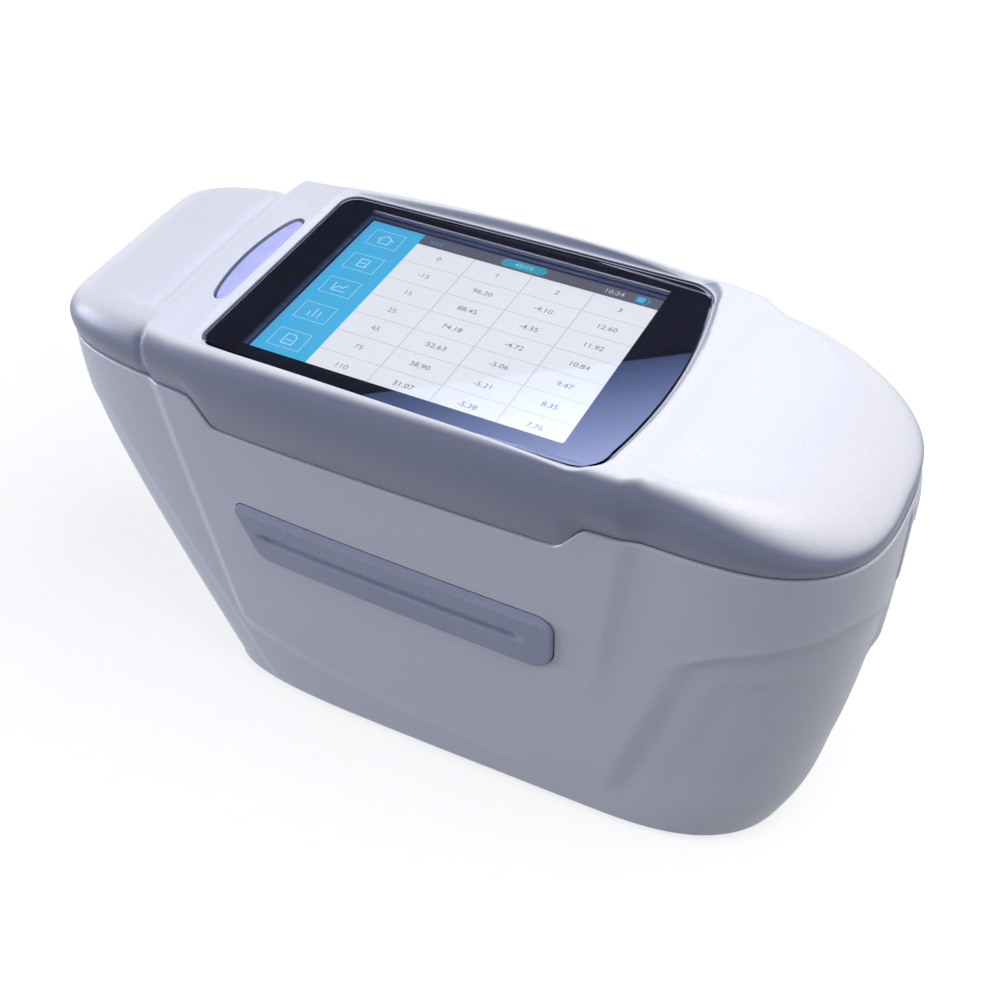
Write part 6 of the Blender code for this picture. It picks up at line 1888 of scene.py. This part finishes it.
def studio_world():
    """Colours by the ray's rise: horizon to overhead, with one pair for mirrors and one for plain light."""
    world = bpy.data.worlds.new("studio")
    bpy.context.scene.world = world
    world.use_nodes = True
    tree = world.node_tree
    tree.nodes.clear()
    rays = add(tree, "ShaderNodeLightPath").outputs
    direction = add(tree, "ShaderNodeTexCoord").outputs["Generated"]
    up = add(tree, "ShaderNodeSeparateXYZ", {"Vector": direction}).outputs["Z"]
    lift = add(tree, "ShaderNodeMapRange", {"Value": up, "From Min": HORIZON_RISE, "From Max": OVERHEAD_RISE},
               interpolation_type="SMOOTHSTEP")
    towards = add(tree, "ShaderNodeVectorMath", {0: direction, 1: LIT_SIDE}, operation="DOT_PRODUCT")
    sideways = add(tree, "ShaderNodeMapRange", {"Value": towards.outputs["Value"], "From Min": -SIDE_FADE,
                                                "From Max": SIDE_FADE})
    mirror_sky = add(tree, "ShaderNodeMix", {"Factor": lift, "A": linear("#F4F6FF"), "B": linear("#16171E")},
                     data_type="RGBA")
    horizon = add(tree, "ShaderNodeMix", {"Factor": sideways, "A": linear("#171922"), "B": linear("#BCC0D2")},
                  data_type="RGBA")
    plain = add(tree, "ShaderNodeMix", {"Factor": lift, "A": horizon, "B": linear("#787B8C")},
                data_type="RGBA")
    mirrored = add(tree, "ShaderNodeMath", {0: rays["Is Glossy Ray"], 1: rays["Is Transmission Ray"]},
                   operation="ADD", use_clamp=True)
    around = add(tree, "ShaderNodeMix", {"Factor": mirrored, "A": plain, "B": mirror_sky}, data_type="RGBA")
    shown = add(tree, "ShaderNodeMix", {"Factor": rays["Is Camera Ray"], "A": around, "B": (1, 1, 1, 1)},
                data_type="RGBA")
    back = add(tree, "ShaderNodeBackground", {"Color": shown, "Strength": 1.0})
    add(tree, "ShaderNodeOutputWorld", {"Surface": back})


def soft_lamp(name, place, aim, size, power, colour="#FFFFFF", mirrored=True):
    """Rectangular area lamp that looks from its place to its aim."""
    lamp = bpy.data.lights.new(name, "AREA")
    lamp.shape = "RECTANGLE"
    lamp.size, lamp.size_y = size
    lamp.energy = power
    lamp.color = linear(colour)[:3]
    item = bpy.data.objects.new(name, lamp)
    item.location = place
    item.rotation_euler = (Vector(aim) - Vector(place)).to_track_quat("-Z", "Y").to_euler()
    item.visible_glossy = mirrored
    bpy.context.scene.collection.objects.link(item)


studio_world()
soft_lamp("overhead_lamp", (0.20, -0.02, 0.56), (0.03, 0.0, 0.10), (0.42, 0.34), 2.72, mirrored=False)
soft_lamp("left_fill", (-1.00, -0.40, 0.14), (0.0, 0.0, 0.05), (0.6, 0.4), 7.5, "#F2F4FF")
print("lamps:", len(bpy.data.lights))

# %% [markdown]
# A pale-blue card that only mirrors see makes the sharp diagonal on the glass.
# A mirror image of the camera below the glass shows where each ray goes: the
# card's edge lies on the line that those rays draw at the card's height, and
# the card fills the side of it towards the viewer, brighter away from its edge.

# %% Card that only mirrors see
CAMERA_PLACE = (0.11946, -0.2363, 0.2979)
CARD_HEIGHT = 0.90
CARD_EDGE_ON_GLASS = ((0.0409, 0.0091), (-0.0103, -0.0305))
CARD_REACH = 0.50
CARD_DEPTH = 0.22
CARD_LIGHT = 1.7
CARD_GAIN = 6.0


def mirrored_to_card(point):
    """Where a ray from the camera, mirrored by the glass at this point, meets the card's height."""
    camera = np.array(CAMERA_PLACE)
    camera[2] = 2 * GLASS_TOP - camera[2]
    hit = np.array([point[0], point[1], GLASS_TOP])
    return camera + (hit - camera) * (CARD_HEIGHT - camera[2]) / (GLASS_TOP - camera[2])


def mirror_card():
    """Sheet from the edge line, run on at both ends, to the same line moved over by the card's depth."""
    start, end = (mirrored_to_card(point) for point in CARD_EDGE_ON_GLASS)
    along = (end - start) / np.linalg.norm(end - start)
    inward = np.array([-along[1], along[0], 0.0]) * CARD_DEPTH
    first = start - along * CARD_REACH
    last = end + along * CARD_REACH
    corners = [first, last, last + inward, first + inward]
    mesh = bpy.data.meshes.new("mirror_card")
    mesh.from_pydata([tuple(corner) for corner in corners], [], [(0, 1, 2, 3)])
    depth = mesh.attributes.new("card_depth", "FLOAT", "POINT")
    depth.data.foreach_set("value", [0.0, 0.0, 1.0, 1.0])
    item = bpy.data.objects.new("mirror_card", mesh)
    bpy.context.scene.collection.objects.link(item)
    made, tree, _ = new_finish("blue_card")
    share = add(tree, "ShaderNodeAttribute", attribute_name="card_depth").outputs["Fac"]
    colour = add(tree, "ShaderNodeMix", {"Factor": share, "A": linear("#7E96D8"), "B": linear("#C9D4FF")},
                 data_type="RGBA")
    strength = add(tree, "ShaderNodeMapRange", {"Value": share, "To Min": CARD_LIGHT,
                                                "To Max": CARD_GAIN * CARD_LIGHT})
    glow = add(tree, "ShaderNodeEmission", {"Color": colour, "Strength": strength})
    add(tree, "ShaderNodeOutputMaterial", {"Surface": glow})
    mesh.materials.append(made)
    item.visible_camera = False
    item.visible_diffuse = False
    item.visible_shadow = False
    print("card edge from", np.round(start, 3), "to", np.round(end, 3))


mirror_card()

# %% [markdown]
# The camera stands where the photograph was taken from: to the right of the
# front and above, looking down at about forty degrees.

# %% Camera
CAMERA_TURN = math.radians(26.15)
CAMERA_TILT = math.radians(42.51)
camera = bpy.data.cameras.new("photo_camera")
camera.lens = 57.6
camera.sensor_width = 36.0
camera.clip_start = 0.01
camera_item = bpy.data.objects.new("photo_camera", camera)
camera_item.location = CAMERA_PLACE
look = Vector((-math.sin(CAMERA_TURN) * math.cos(CAMERA_TILT), math.cos(CAMERA_TURN) * math.cos(CAMERA_TILT),
               -math.sin(CAMERA_TILT)))
camera_item.rotation_euler = look.to_track_quat("-Z", "Y").to_euler()
bpy.context.scene.collection.objects.link(camera_item)
bpy.context.scene.camera = camera_item
bpy.context.scene.view_settings.view_transform = "Standard"
print("camera:", camera.lens, "mm lens")
